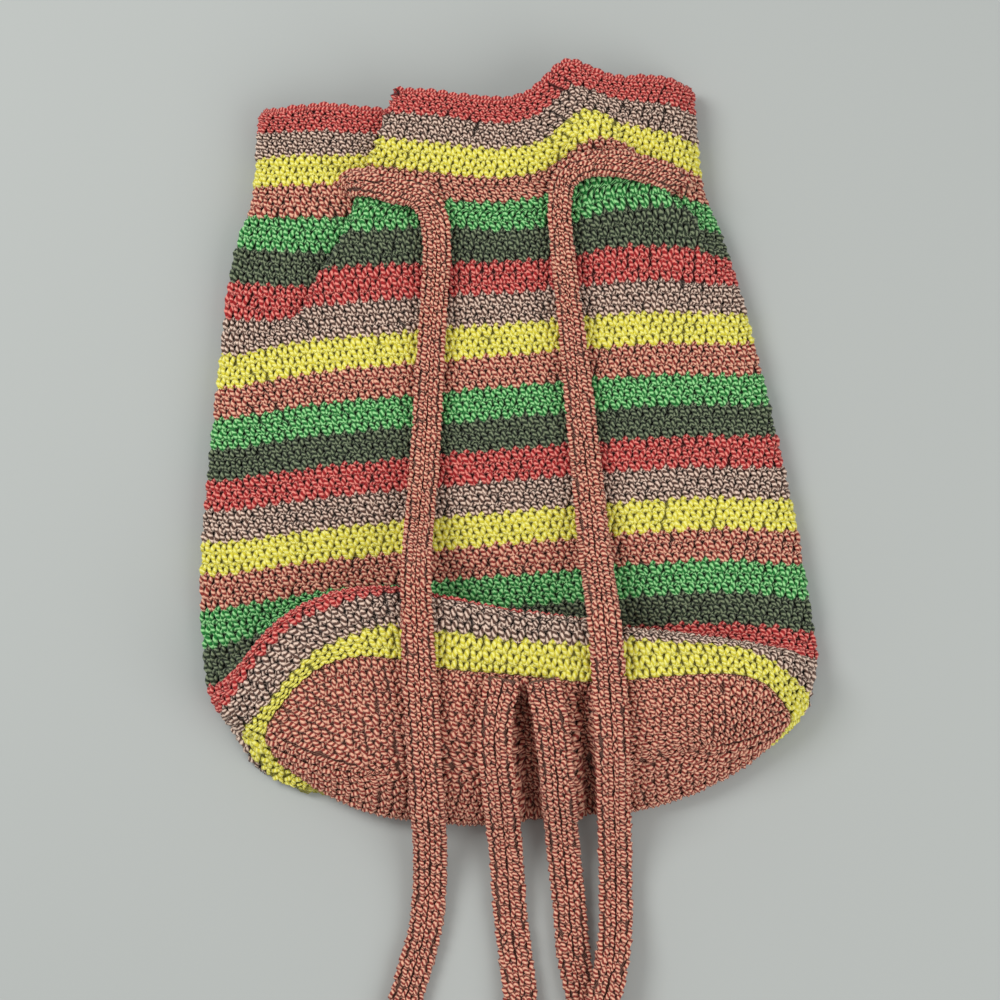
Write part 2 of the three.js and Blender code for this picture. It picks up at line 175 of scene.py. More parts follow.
class NodeBench:
    """A new material whose shader nodes are added and joined up one by one."""

    def __init__(self, name: str) -> None:
        """Start with no nodes.

        Args:
            name: the material's name.
        """
        self.material = bpy.data.materials.new(name)
        self.material.use_nodes = True
        self.tree = self.material.node_tree
        self.tree.nodes.clear()

    def feed(self, socket: bpy.types.NodeSocket, operand: Operand) -> None:
        """Link a socket to another node's output, or set it to a value.

        Args:
            socket: the input to feed.
            operand: the output or the value.
        """
        if isinstance(operand, bpy.types.NodeSocket):
            self.tree.links.new(operand, socket)
        else:
            socket.default_value = operand

    def node(self, kind: str, **operands: Operand) -> bpy.types.Node:
        """Add a node.

        Args:
            kind: its type, without the words that every shader node's type starts with.
            operands: what feeds each socket, by the socket's name with _ for a space.

        Returns:
            The node.
        """
        made = self.tree.nodes.new(f"ShaderNode{kind}")
        for name, operand in operands.items():
            self.feed(made.inputs[name.replace("_", " ")], operand)
        return made

    def math(self, operation: str, *operands: Operand) -> bpy.types.NodeSocket:
        """Add a math node.

        Args:
            operation: what it works out.
            operands: what feeds its sockets, in order.

        Returns:
            Its output.
        """
        made = self.node("Math")
        made.operation = operation
        for socket, operand in zip(made.inputs, operands):
            self.feed(socket, operand)
        return made.outputs[0]

    def surface(self, **operands: Operand) -> bpy.types.Material:
        """Finish the material with its surface shader.

        Args:
            operands: what feeds the shader's sockets.

        Returns:
            The material.
        """
        skin = self.node("BsdfPrincipled", **operands)
        self.node("OutputMaterial", Surface=skin.outputs["BSDF"])
        return self.material


@dataclass(frozen=True)
class YarnFinish:
    """Look of one marled yarn: two plies of different shade twisted together.

    Scales of the flecks are per millimetre of strand, those of the fluff per metre.
    """

    yarn: Yarn
    deep: tuple[int, int, int]
    pale: tuple[int, int, int]
    pale_share: float = 0.5
    gap: float = 0.24  # painted shade: share of the yarn's colour left where the rise is lowest, between the strands
    painted_shade_rises: tuple[float, float] = (DARKEST_SHADE_RISE, 1.4)  # millimetres of rise at which the painted shade is darkest, and at which it ends on top of a strand
    twist: float = 1.7  # millimetres a turn
    fleck_scale: float = 1.3
    fleck_detail: float = 3.0
    fleck_roughness: float = 0.65
    fluff_scale: float = 2600.0
    fluff_detail: float = 2.0
    fluff_roughness: float = 0.6
    noise_mean: float = 0.5
    ply_weight: float = 0.95
    fleck_weight: float = 2.6
    fluff_weight: float = 0.8
    contrast: float = 0.5
    ramp_ends: tuple[float, float] = (0.28, 0.72)  # shades of the two plies are full at these
    bump_strength: float = 0.55
    bump_height: float = 0.0004  # metres
    roughness: float = 0.92
    specular: float = 0.25
    sheen: float = 0.12
    sheen_roughness: float = 0.6

    def material(self) -> bpy.types.Material:
        """Build the shader: ply bands wind round the strand, with flecks, fluff and a soft sheen.

        The strand's UV runs in millimetres along it and from 0 to 1 round it, so the bands are
        the sine of the two added together. Flecks and fluff are noise about 0, added to the
        bands, and the sum goes from the deep ply's colour to the pale one's. What lies deep
        between the strands, by its rise, is darkened with painted shade.

        Returns:
            The material.
        """
        bench = NodeBench(f"yarn_{self.yarn.value}")
        strand = bench.node("UVMap")
        strand.uv_map = STRAND_UV
        uv = strand.outputs["UV"]
        split = bench.node("SeparateXYZ", Vector=uv)
        turns = bench.math("MULTIPLY_ADD", split.outputs["X"], 1.0 / self.twist, split.outputs["Y"])
        band = bench.math("SINE", bench.math("MULTIPLY", turns, 2 * math.pi))

        spot = bench.node("TexCoord").outputs["Object"]
        flecks = bench.node(
            "TexNoise",
            Vector=uv,
            Scale=self.fleck_scale,
            Detail=self.fleck_detail,
            Roughness=self.fleck_roughness,
        )
        fluff = bench.node(
            "TexNoise",
            Vector=spot,
            Scale=self.fluff_scale,
            Detail=self.fluff_detail,
            Roughness=self.fluff_roughness,
        )
        speck = bench.math("SUBTRACT", flecks.outputs["Fac"], self.noise_mean)
        fine = bench.math("SUBTRACT", fluff.outputs["Fac"], self.noise_mean)
        plies = bench.math("MULTIPLY", band, self.ply_weight)
        mark = bench.math("MULTIPLY_ADD", speck, self.fleck_weight, plies)
        mark = bench.math("MULTIPLY_ADD", fine, self.fluff_weight, mark)
        shade = bench.math("ADD", bench.math("MULTIPLY", mark, self.contrast), self.pale_share)
        ramp = bench.node("ValToRGB", Fac=shade)
        for end, place, rgb in zip(ramp.color_ramp.elements, self.ramp_ends, (self.deep, self.pale)):
            end.position = place
            end.color = linear(rgb)

        # Painted shade: the colour is scaled down where the rise is low, between and under the strands.
        rise = bench.node("Attribute")
        rise.attribute_name = RISE
        low, high = self.painted_shade_rises
        depth = bench.node(
            "MapRange",
            Value=rise.outputs["Fac"],
            From_Min=low,
            From_Max=high,
            To_Min=self.gap,
            To_Max=1.0,
        )
        colour_with_painted_shade = bench.node("VectorMath")
        colour_with_painted_shade.operation = "SCALE"
        bench.feed(colour_with_painted_shade.inputs[0], ramp.outputs["Color"])
        bench.feed(colour_with_painted_shade.inputs["Scale"], depth.outputs["Result"])
        height = bench.math("MULTIPLY_ADD", fine, self.fluff_weight, bench.math("ABSOLUTE", band))
        bump = bench.node("Bump", Height=height, Strength=self.bump_strength, Distance=self.bump_height)
        return bench.surface(
            Base_Color=colour_with_painted_shade.outputs["Vector"],
            Normal=bump.outputs["Normal"],
            Roughness=self.roughness,
            Specular_IOR_Level=self.specular,
            Sheen_Weight=self.sheen,
            Sheen_Roughness=self.sheen_roughness,
        )


FINISHES = {
    finish.yarn: finish
    for finish in (
        YarnFinish(Yarn.YELLOW, (228, 216, 56), (255, 250, 142), 0.52, 0.46),
        YarnFinish(Yarn.MAUVE, (98, 68, 56), (242, 214, 194), 0.44),
        YarnFinish(Yarn.RED, (168, 26, 30), (250, 148, 134), 0.38),
        YarnFinish(Yarn.MOSS, (34, 48, 28), (132, 144, 112), 0.41),
        YarnFinish(Yarn.GREEN, (26, 122, 48), (162, 232, 154), 0.42),
        YarnFinish(Yarn.TERRACOTTA, (146, 50, 40), (248, 188, 158), 0.47),
    )
}


# Meshes


def ring_quads(rings: int, sides: int) -> Array:
    """Corners of the faces between rings of points that follow each other.

    Args:
        rings: how many rings.
        sides: points in a ring.

    Returns:
        One row of four point numbers a face, ring by ring.
    """
    ring, side = np.meshgrid(np.arange(rings - 1), np.arange(sides), indexing="ij")
    near, far = ring * sides, (ring + 1) * sides
    after = (side + 1) % sides
    return np.stack([near + side, near + after, far + after, far + side], -1).reshape(-1, 4)


def ring_caps(rings: int, sides: int) -> Array:
    """The face over the first ring, turned round, and the one over the last."""
    return np.stack([np.arange(sides)[::-1], (rings - 1) * sides + np.arange(sides)])


@dataclass
class Patch:
    """Points, faces of equal corner count, strand UV for each face corner, and rise of each point, which
    sets its painted shade.
    """

    points: Array
    faces: list[Array]
    uvs: list[Array]
    rise: Array

    @staticmethod
    def tube(points: Array, rise: float) -> "Patch":
        """Quads between the rows and columns of a grid whose last column joins the first.

        Args:
            points: rows by columns by 3.
            rise: how far it stands out of the cloth, in millimetres, which sets its painted shade.

        Returns:
            The patch, facing along the cross product of the column and row directions.
        """
        rows, cols = points.shape[:2]
        r, c = np.meshgrid(np.arange(rows - 1), np.arange(cols), indexing="ij")
        u = np.stack([c, c + 1, c + 1, c], -1) * BACKING_UV
        v = np.stack([r, r, r + 1, r + 1], -1) * BACKING_UV
        uv = np.stack([u, v], -1).reshape(-1, 4, 2)
        return Patch(points.reshape(-1, 3), [ring_quads(rows, cols)], [uv], np.full(rows * cols, rise))


class MeshMaker:
    """Gathers patches and turns them into one mesh object."""

    def __init__(self, name: str) -> None:
        """Start empty.

        Args:
            name: the piece's name.
        """
        self.name = name
        self.points: list[Array] = []
        self.faces: list[Array] = []
        self.uvs: list[Array] = []
        self.rises: list[Array] = []
        self.count = 0

    def add(self, patch: Patch) -> None:
        """Add a patch's points, faces, UVs and rises.

        Args:
            patch: what to add.
        """
        self.points.append(patch.points)
        self.faces += [f + self.count for f in patch.faces]
        self.uvs += patch.uvs
        self.rises.append(patch.rise)
        self.count += len(patch.points)

    def build(self, material: bpy.types.Material) -> bpy.types.Object:
        """Make the object, in metres and smooth shaded.

        Args:
            material: its one material.

        Returns:
            The object, linked into the scene.
        """
        points = np.concatenate(self.points) * METRE
        sizes = np.concatenate([np.full(len(f), f.shape[1]) for f in self.faces])
        corners = np.concatenate([f.ravel() for f in self.faces])
        starts = np.concatenate([[0], np.cumsum(sizes)[:-1]])
        mesh = bpy.data.meshes.new(self.name)
        mesh.vertices.add(len(points))
        mesh.loops.add(len(corners))
        mesh.polygons.add(len(sizes))
        mesh.vertices.foreach_set("co", points.astype(np.float32).ravel())
        mesh.loops.foreach_set("vertex_index", corners.astype(np.int32))
        mesh.polygons.foreach_set("loop_start", starts.astype(np.int32))
        mesh.polygons.foreach_set("loop_total", sizes.astype(np.int32))
        mesh.polygons.foreach_set("use_smooth", np.ones(len(sizes), dtype=bool))
        layer = mesh.uv_layers.new(name=STRAND_UV)
        uvs = np.concatenate([u.ravel() for u in self.uvs])
        layer.data.foreach_set("uv", uvs.astype(np.float32))
        # the rise of each point, which the yarn's shader turns into painted shade
        rise = mesh.attributes.new(RISE, "FLOAT", "POINT")
        rise.data.foreach_set("value", np.concatenate(self.rises).astype(np.float32))
        mesh.materials.append(material)
        mesh.update(calc_edges=True)
        mesh.validate()
        piece = bpy.data.objects.new(self.name, mesh)
        bpy.context.scene.collection.objects.link(piece)
        log.info("%s: %d faces", self.name, len(sizes))
        return piece


# Form of the bag as it lies


@dataclass(frozen=True)
class Pleat:
    """A fold of the gathered cloth: one side of a line lies over the other."""

    line: Guide  # x of the line at each stripe
    strength: Guide  # 0 to 1 at each stripe
    lift: float  # how far the cloth steps up
    pull: tuple[float, float] = (0.8, 0.8)  # shares of the step that draw the rounds up, left and right
    overlap: float = 12.0  # how far the cloth slides over itself
    width: float = 8.0  # from the line to the furthest slide
    step: float = 0.45  # share of the width that the step takes
    reach: float = 26.0  # how far beside the line the step dies out

    def offsets(self, x: Array, stripe: Array) -> tuple[Array, Array, Array]:
        """How far the cloth rises and slides beside the line, and how far its rounds are drawn up.

        The rise is a steep step across the line that dies out beside it, and the rounds are drawn
        up by a share of it. The slide is a wave, ahead before the line and back after it, so the
        cloth lies in three layers there.

        Args:
            x: places across, in millimetres.
            stripe: stripes up from the edge of the base.

        Returns:
            Rise, slide and draw, in millimetres.
        """
        off = x - self.line(stripe)
        t = off / self.width
        strength = self.strength(stripe)
        rise = self.lift * np.tanh(t / self.step) * np.exp(-np.abs(off) / self.reach)
        slide = -self.overlap * t * np.exp((1 - t * t) / 2)
        draw = rise * np.where(off < 0, *self.pull)
        return rise * strength, slide * strength, draw * strength


@dataclass(frozen=True)
class BagForm:
    """Shape of the lying bag, in millimetres, close to the guides that its frame was made from.

    The guides of the side folds, the lip's rows, the neck's dip, the peak and the pleats run up the
    stripes. All others run across the bag, from -1 at the left side fold to 1 at the right one.
    """

    stripe: float = ROUND_HEIGHT * ROUNDS_PER_STRIPE
    stripe_count: int = 21
    side_fold: float = 7.0  # radius of the folds at the sides
    body_depth: float = 24.0  # height of the flat part
    neck_depth: float = 30.0  # height of the gathered part
    rim_depth: float = 41.0  # height of the base's upper edge
    first_depth: float = 45.0  # height of the top of the first stripe
    crest_depth: float = 48.0  # height of the crest
    base_middle: tuple[float, float, float] = (8.0, -124.0, 21.0)
    base_half: float = 117.0  # half the base's width
    base_bulge: float = 22.0  # how far the base swells out
    bulge_lift: float = 0.25  # share of the swell that goes upwards
    base_tuck: float = 9.0  # how far the base rolls under
    tuck_drop: float = 0.4  # share of the roll that goes downwards
    tuck_power: int = 4  # how late the roll dies out at the sides
    roll_top: float = 4 / 27  # greatest value of a share's square times one minus the share
    chain_share: float = 0.6  # length of the base's chain as a share of its width
    under_shift: float = 24.0  # how far the lower panel lies on towards the base
    under_stripe: float = 3.0  # stripe from which it does so
    under_power: int = 4  # how late the shift dies out at the sides
    first_power: int = 8  # the same for the first stripe
    first_round: float = 0.6  # how round the first stripe's corners are
    edge_lift: float = 4.0  # how far the lower edge of the wall stands off the ground
    edge_turn: float = 0.4  # stripes over which it comes down
    side_power: float = 5.0  # how late the upper panel rounds down to the side folds
    gather_stripe: float = 12.0  # stripe at which the gathering starts
    neck_stripe: float = 17.5  # stripe at which it is complete
    plateau_stripe: float = 7.0  # a stripe that lies flat
    plateau_y: float = -30.6  # and its place
    row_spread: float = 1.013  # stretch of the rounds that lie flat
    row_droop: float = 7.0  # how far the rounds droop at the sides
    droop_power: int = 6  # how late they do so
    hold_powers: tuple[float, float] = (40.0, 8.0)  # how late slides and waves end at the sides
    hold_stripes: tuple[float, float] = (1.0, 3.0)  # stripes of the one power and the other
    ruffle_lean: float = 9.0  # how far the lip leans back
    peak_width: float = 9.5  # spread of the neck's peak
    peak_lift: float = 0.3  # height of the peak as a share of its run

    left_x: Guide = Guide(
        (1, -120), (2, -129), (3, -133), (6, -132), (12.5, -117), (16, -105), (17.5, -96), (21, -90)
    )
    right_x: Guide = Guide(
        (1, 131), (2, 135), (3, 135), (6, 132), (12.5, 120), (16, 111), (17.5, 105), (21, 105)
    )
    left_y: Guide = Guide(
        (1, -116), (2, -106), (3, -94), (6, -44), (12.5, 45), (15, 86), (17, 113.5), (19, 139),
        (20, 151), (21, 158.5),
    )
    right_y: Guide = Guide(
        (1, -121), (2, -105), (3, -94), (6, -48), (12.5, 44), (17.5, 106.5), (19, 128), (20, 142),
        (21, 152),
    )
    rim_x: Guide = Guide(
        (-1, -108.4), (-0.97, -107.8), (-0.93, -104.8), (-0.86, -98), (-0.78, -90.5), (-0.68, -79.5),
        (-0.55, -65), (-0.4, -48), (-0.2, -25), (0, -2), (0.3, 34), (0.6, 70), (0.8, 96), (0.9, 108),
        (0.95, 114), (0.98, 119), (1, 121.5),
    )
    rim_y: Guide = Guide(
        (-1, -122), (-0.97, -117.5), (-0.93, -112), (-0.86, -105), (-0.78, -98), (-0.68, -91.5),
        (-0.55, -89), (-0.4, -91.5), (-0.2, -98), (0, -102), (0.3, -108.5), (0.6, -109), (0.8, -110.5),
        (0.9, -115), (0.95, -120.5), (0.98, -126.5), (1, -131),
    )
    rim_rise: Guide = Guide(
        (-1, 0.51), (-0.97, 0.62), (-0.93, 0.73), (-0.86, 0.83), (-0.78, 0.9), (-0.68, 0.96),
        (-0.55, 0.99), (-0.4, 1), (0.5, 1), (0.8, 0.95), (0.9, 0.85), (0.95, 0.72), (0.98, 0.53),
        (1, 0.39),
    )
    heel_x: Guide = Guide(
        (-1, -108.4), (-0.97, -105.7), (-0.93, -99.5), (-0.88, -91), (-0.8, -78), (-0.6, -55),
        (-0.3, -25), (0, 8), (0.4, 55), (0.7, 88), (0.85, 104), (0.93, 113), (0.97, 118), (1, 121.5),
    )
    heel_y: Guide = Guide(
        (-1, -122), (-0.97, -129), (-0.93, -134.5), (-0.88, -140.5), (-0.8, -146), (-0.6, -150),
        (-0.3, -153), (0, -155), (0.4, -154), (0.7, -150), (0.85, -145), (0.93, -140), (0.97, -136),
        (1, -131),
    )
    heel_rise: Guide = Guide(
        (-1, 0.51), (-0.97, 0.34), (-0.93, 0.24), (-0.88, 0.15), (-0.8, 0.06), (-0.6, 0.02), (-0.3, 0),
        (0.4, 0), (0.7, 0.03), (0.85, 0.09), (0.93, 0.17), (0.97, 0.26), (1, 0.39),
    )
    first_y: Guide = Guide(
        (-1, -116), (-0.9, -108.5), (-0.84, -101), (-0.71, -86.5), (-0.59, -81), (-0.43, -76.7),
        (-0.25, -81.5), (0, -88.5), (0.21, -92), (0.36, -92), (0.57, -94), (0.75, -98.5),
        (0.84, -104.5), (0.93, -113.5), (1, -121),
    )
    first_shift: Guide = Guide(
        (-1, 33), (-0.85, 31.8), (-0.76, 28.5), (-0.66, 26), (-0.5, 25), (0, 26), (1, 22)
    )
    crest_y: Guide = Guide(
        (-1, -97), (-0.87, -82.5), (-0.73, -69), (-0.58, -62), (-0.41, -60.2), (-0.25, -65),
        (0, -74.5), (0.22, -80.5), (0.36, -86.5), (0.45, -89), (0.57, -92.6), (0.74, -96.8),
        (0.85, -100), (1, -104),
    )
    crest_stripe: Guide = Guide(
        (-1, 3), (-0.87, 2.45), (-0.73, 2.37), (-0.58, 2.3), (-0.41, 2.15), (-0.25, 1.86), (0, 1.73),
        (0.22, 1.58), (0.33, 1.3), (0.4, 1.2), (0.47, 1.17), (0.57, 1.06), (0.74, 1.08), (0.84, 1.35),
        (1, 2),
    )
    fold_run: Guide = Guide((-1, 2), (-0.55, 1), (-0.3, -2.5), (0.3, -2.5), (0.45, 0.5), (1, 2))
    neck_wave: Guide = Guide((-1, 1), (-0.7, 1), (-0.2, 3), (0.1, -1), (0.35, -1), (0.58, 3), (1, -4))
    lip_wave: Guide = Guide(
        (-1, 1), (-0.72, 3), (-0.43, 0.5), (-0.38, 2.5), (-0.18, 1.5), (0, -2.6), (0.16, -3.8),
        (0.3, -1.6), (0.42, 2), (0.62, 2), (0.77, 2.3), (0.9, 1.5), (1, -4),
    )
    lip_rows: Guide = Guide((17.5, 0), (18, 0), (19, 1.6), (20, 2.4), (21, -0.5))
    neck_dip: Guide = Guide((16, 0), (17, 2.5), (18, 5), (19, 3), (20, 0.8), (21, 0.8))
    dip_share: Guide = Guide(
        (-1, -0.35), (-0.45, -0.35), (-0.36, 0), (-0.16, 1), (0.13, 0.85), (0.35, 0.5), (0.55, 0),
        (1, 0),
    )
    peak: Guide = Guide((16.5, 0), (17.5, 4), (18.5, 7.5), (19, 8), (20, 8), (21, 8.5))
    peak_x: Guide = Guide((17, 56), (19, 53), (21, 48.5))
    pleats: tuple[Pleat, ...] = (
        Pleat(
            Guide(
                (13, -103), (14, -78), (15, -65), (16, -51), (17, -43), (18, -37.5), (19, -31),
                (20, -27), (21, -22.5),
            ),
            Guide((12, 0), (13.5, 0.35), (15, 0.8), (17, 1), (21, 1)),
            5.0,
            (1.5, 0.8),
        ),
        Pleat(
            Guide((14.5, 110), (15.2, 106), (16.2, 94), (16.7, 80), (17.4, 71), (18, 69), (21, 68)),
            Guide(
                (14.5, 0), (15.5, 0.5), (16.3, 1), (17.2, 1), (18, 0.35), (18.6, 0.15), (20, 0),
                (21, 0),
            ),
            -5.0,
            (1.7, 0.3),
        ),
    )

    def row_y(self, stripe: Array) -> Array:
        """The y of a stripe where the wall lies flat."""
        return self.plateau_y + (stripe - self.plateau_stripe) * self.stripe * self.row_spread

    def stripe_at(self, y: Array) -> Array:
        """The stripe that lies flat at a y."""
        return self.plateau_stripe + (y - self.plateau_y) / (self.stripe * self.row_spread)

    def gathered(self, stripe: Array) -> Array:
        """How far the cloth is gathered: 0 in the flat part, 1 at the neck."""
        return ease(stripe, self.gather_stripe, self.neck_stripe)

    def flat_row_y(self, across: Array, stripe: Array) -> Array:
        """The y of a stripe on the upper panel, waved where it is gathered.

        Flat rows droop at the sides by a power of the place across. Towards the neck the droop goes
        over into the neck's wave, and from there into the lip's, less the dip between the straps.

        Args:
            across: -1 at the left fold to 1 at the right one.
            stripe: stripes up from the edge of the base.

        Returns:
            y, in millimetres.
        """
        neck = self.gathered(stripe)
        lip = ease(stripe, self.neck_stripe, self.stripe_count)
        droop = self.row_droop * np.abs(across) ** self.droop_power * (1 - neck)
        wave = mix(self.neck_wave(across) * neck, self.lip_wave(across), lip)
        dip = self.neck_dip(stripe) * self.dip_share(across)
        return self.row_y(stripe) - self.ruffle_lean * lip - droop + wave + self.lip_rows(stripe) - dip

    def flat_height(self, stripe: Array) -> Array:
        """Height of the upper panel before its pleats, and before its sides are rounded down."""
        return mix(self.body_depth, self.neck_depth, self.gathered(stripe))

    def across_x(self, across: Array, stripe: Array) -> Array:
        """x at a place across a round."""
        return mix(self.left_x(stripe), self.right_x(stripe), (across + 1) / 2)

    def across_y(self, across: Array, stripe: Array) -> Array:
        """y of the straight line between the two side folds."""
        return mix(self.left_y(stripe), self.right_y(stripe), (across + 1) / 2)

    def upper(self, across: Array, stripe: Array) -> Array:
        """Upper panel: over the crest, down the fold and on to the mouth, pleated at the neck.

        From the first stripe to the crest the height climbs as a quarter sine. From the crest to the
        fold's foot it falls as a smooth step, and the rows after the foot lie flat. Pleats and a
        bell-shaped peak are added, and at the sides a power curve brings it down to the side folds.
        The first stripe is a straight blend from the rim.

        Args:
            across: -1 at the left fold to 1 at the right one.
            stripe: stripes up from the edge of the base.

        Returns:
            Points, in millimetres.
        """
        across, stripe = np.broadcast_arrays(across, stripe)
        above_rim = np.clip(stripe, 0, 1)[..., None]
        stripe = np.maximum(stripe, 1.0)
        x = self.across_x(across, stripe)
        crest = self.crest_stripe(across)
        crest_y = self.crest_y(across)
        foot = self.stripe_at(crest_y + self.fold_run(across))
        climb = np.clip((stripe - 1) / (crest - 1), 0, 1)
        fall = np.clip((stripe - crest) / (foot - crest), 0, 1)
        y = self.flat_row_y(across, stripe)
        y = np.where(stripe < foot, mix(crest_y, self.flat_row_y(across, foot), fall), y)
        y = np.where(stripe < crest, mix(self.first_y(across), crest_y, climb), y)
        height = self.flat_height(stripe)
        drop = mix(self.crest_depth, self.flat_height(foot), ease(fall, 0, 1))
        height = np.where(stripe < foot, drop, height)
        climbed = mix(self.first_depth, self.crest_depth, np.sin(climb * np.pi / 2))
        height = np.where(stripe < crest, climbed, height)

        hold = mix(*self.hold_powers, ease(stripe, *self.hold_stripes))
        inside = 1 - np.abs(across) ** hold
        for pleat in self.pleats:
            rise, slide, draw = pleat.offsets(self.across_x(across, stripe), stripe)
            x = x + slide * inside
            y = y + draw
            height = height + rise
        peak = self.peak(stripe) * bell(x - self.peak_x(stripe), self.peak_width)
        y = mix(y + peak, self.across_y(across, stripe), 1 - inside)
        height = height + self.peak_lift * peak
        side = np.sqrt(np.maximum(0, 1 - np.abs(across) ** self.side_power))
        wall = np.stack([x, y, mix(self.side_fold, height, side)], -1)
        rim_height = self.rim_depth * self.rim_rise(across)
        rim = np.stack([self.rim_x(across), self.rim_y(across), rim_height], -1)
        return mix(rim, wall, above_rim)

    def under(self, across: Array, stripe: Array) -> Array:
        """Lower panel: flat on the ground with its sides rolled up to the side folds.

        The sides are quarter circles. The panel is shifted on towards the base, by a power of the
        place across, and the first stripe is a straight blend from the heel.

        Args:
            across: -1 at the left fold to 1 at the right one.
            stripe: stripes up from the edge of the base.

        Returns:
            Points, in millimetres.
        """
        across, stripe = np.broadcast_arrays(across, stripe)
        above_rim = np.clip(stripe, 0, 1)[..., None]
        stripe = np.maximum(stripe, 1.0)
        x = self.across_x(across, stripe)
        from_side = np.minimum(x - self.left_x(stripe), self.right_x(stripe) - x)
        rolled = np.clip(self.side_fold - from_side, 0, self.side_fold)
        z = self.side_fold - np.sqrt(self.side_fold**2 - rolled**2)
        shift = self.under_shift * (1 - across**self.under_power)
        first_shift = self.first_shift(across) * (1 - across**self.first_power) ** self.first_round
        low = (self.under_stripe - stripe) / (self.under_stripe - 1)
        turned_in = 1 - np.clip(low, 0, 1) ** 2
        y = self.across_y(across, stripe) - mix(first_shift, shift, turned_in)
        z = z + self.edge_lift * np.clip(1 - (stripe - 1) / self.edge_turn, 0, 1) ** 2
        wall = np.stack([x, y, z], -1)
        heel_height = self.rim_depth * self.heel_rise(across)
        heel = np.stack([self.heel_x(across), self.heel_y(across), heel_height], -1)
        return mix(heel, wall, above_rim)

    def base_round(self, edge: Array, anchor: Array, share: Array) -> Array:
        """A round of the base: its edge drawn in to a chain, bulging out and rolling under.

        The bulge falls with the square of the share. The roll is the share's square times what is
        left of it, made 1 at its top.

        Args:
            edge: points of the base's edge, in millimetres.
            anchor: x of the edge that sets the place on the chain for each point.
            share: 0 at the chain to 1 at the edge.

        Returns:
            Points in the broadcast shape of the two.
        """
        mid_x, mid_y, mid_z = self.base_middle
        off = np.clip((anchor - mid_x) / self.base_half, -1, 1)
        swell = self.base_bulge * (1 - share**2) * (1 - (self.chain_share * off) ** 2)
        low = np.maximum(0, (mid_z - edge[..., 2]) / mid_z)
        roll = share**2 * (1 - share) / self.roll_top * low
        tuck = self.base_tuck * roll * (1 - off**self.tuck_power)
        x = mix(mid_x + self.chain_share * (anchor - mid_x), edge[..., 0], share)
        y = mix(mid_y, edge[..., 1], share) - swell - tuck
        z = mix(mid_z, edge[..., 2], share) + self.bulge_lift * swell - self.tuck_drop * tuck
        return np.stack([x, y, z], -1)


# Cloth grids


class Cloth:
    """A grid of points and normals that can be read anywhere between its rows and columns."""

    reach: int = 9  # columns on each side over which the way up is averaged
    steepest: float = 1.3  # most columns aside for a row up
    least_step: float = 1e-6
    end_gap: float = 1e-4  # how far before the last row it is read at most
    folded_facing: tuple[float, float] = (-0.1, 0.5)  # normals' z from folded back to facing up

    def __init__(self, points: Array) -> None:
        """Keep the points and work out normals from the slopes along rows and columns.

        Kept too is how many columns to go aside for each row up, to go up square to the row.

        Args:
            points: rows by columns by 3, in millimetres; the last column joins the first.
        """
        self.points = points
        around = (np.roll(points, -1, 1) - np.roll(points, 1, 1)) / 2
        up = np.gradient(points, axis=0)
        self.normals = unit(np.cross(around, up))
        step = np.maximum(np.sum(around * around, axis=-1), self.least_step)
        aside = np.clip(-np.sum(up * around, axis=-1) / step, -self.steepest, self.steepest)
        near = range(-self.reach, self.reach + 1)
        self.upright = sum(np.roll(aside, k, 1) for k in near) / len(near)

    def read(self, row: Array, column: Array) -> tuple[Array, Array]:
        """Points and normals at fractional places, blended from the four nearest grid points.

        Args:
            row: place along the rows; past the ends the end rows hold.
            column: place along the columns, which run on round.

        Returns:
            Points and unit normals.
        """
        rows, cols = self.points.shape[:2]
        row = np.clip(row, 0, rows - 1 - self.end_gap)
        r = np.floor(row).astype(int)
        c = np.floor(column).astype(int)
        up, aside = (row - r)[..., None], (column - c)[..., None]
        c0, c1 = c % cols, (c + 1) % cols

        def along(grid: Array, at: Array) -> Array:
            """Blend of a grid between columns, in given rows."""
            return grid[at, c0] * (1 - aside) + grid[at, c1] * aside

        points, normals = (
            along(grid, r) * (1 - up) + along(grid, r + 1) * up for grid in (self.points, self.normals)
        )
        return points, unit(normals)

    def shell(
        self,
        first: float,
        last: float,
        rows: int,
        columns: int,
        faces: tuple[float, float],
        thin: float = 1.0,
        rise: float = DARKEST_SHADE_RISE,
    ) -> Patch:
        """A closed ring of backing behind the stitches, painted with shade where it shows between them.

        Outside, far end, inside and near end make one closed grid.

        Args:
            first: cloth row at which it starts.
            last: cloth row at which it ends.
            rows: steps along it.
            columns: steps round it.
            faces: how far the outside and the inside lie from the cloth, outwards.
            thin: share of the inside's depth left where the upper panel is folded back.
            rise: how dark its painted shade is, from -1 as deep in a gap to 1 as on top of a strand.

        Returns:
            The patch.
        """
        along = np.linspace(first, last, rows + 1)
        around = np.arange(columns) / columns
        row, column = np.meshgrid(along, around * self.points.shape[1], indexing="ij")
        points, normals = self.read(row, column)
        outside = points + normals * faces[0]
        facing = np.where(around < 0.5, ease(normals[..., 2], *self.folded_facing), 1.0)[..., None]
        inside = (points + normals * faces[1] * mix(thin, 1.0, facing))[::-1]
        return Patch.tube(np.concatenate([outside, inside, outside[:1]]), rise)


def smooth_rows(points: Array, reach: float) -> Array:
    """Soften a grid along its rows with a bell-shaped mean, keeping its first and last rows.

    Args:
        points: rows by columns by 3.
        reach: spread of the bell, in rows.

    Returns:
        The softened grid.
    """
    half = int(math.ceil(BELL_REACH * reach))
    weights = bell(np.arange(-half, half + 1), reach)
    weights /= weights.sum()
    head = 2 * points[:1] - points[half:0:-1]
    tail = 2 * points[-1:] - points[-2 : -half - 2 : -1]
    padded = np.concatenate([head, points, tail])
    return sum(weight * padded[i : i + len(points)] for i, weight in enumerate(weights))


def runs(line: Array) -> Array:
    """Length along a line up to each of its points."""
    steps = np.linalg.norm(np.diff(line, axis=0), axis=1)
    return np.concatenate([[0], np.cumsum(steps)])


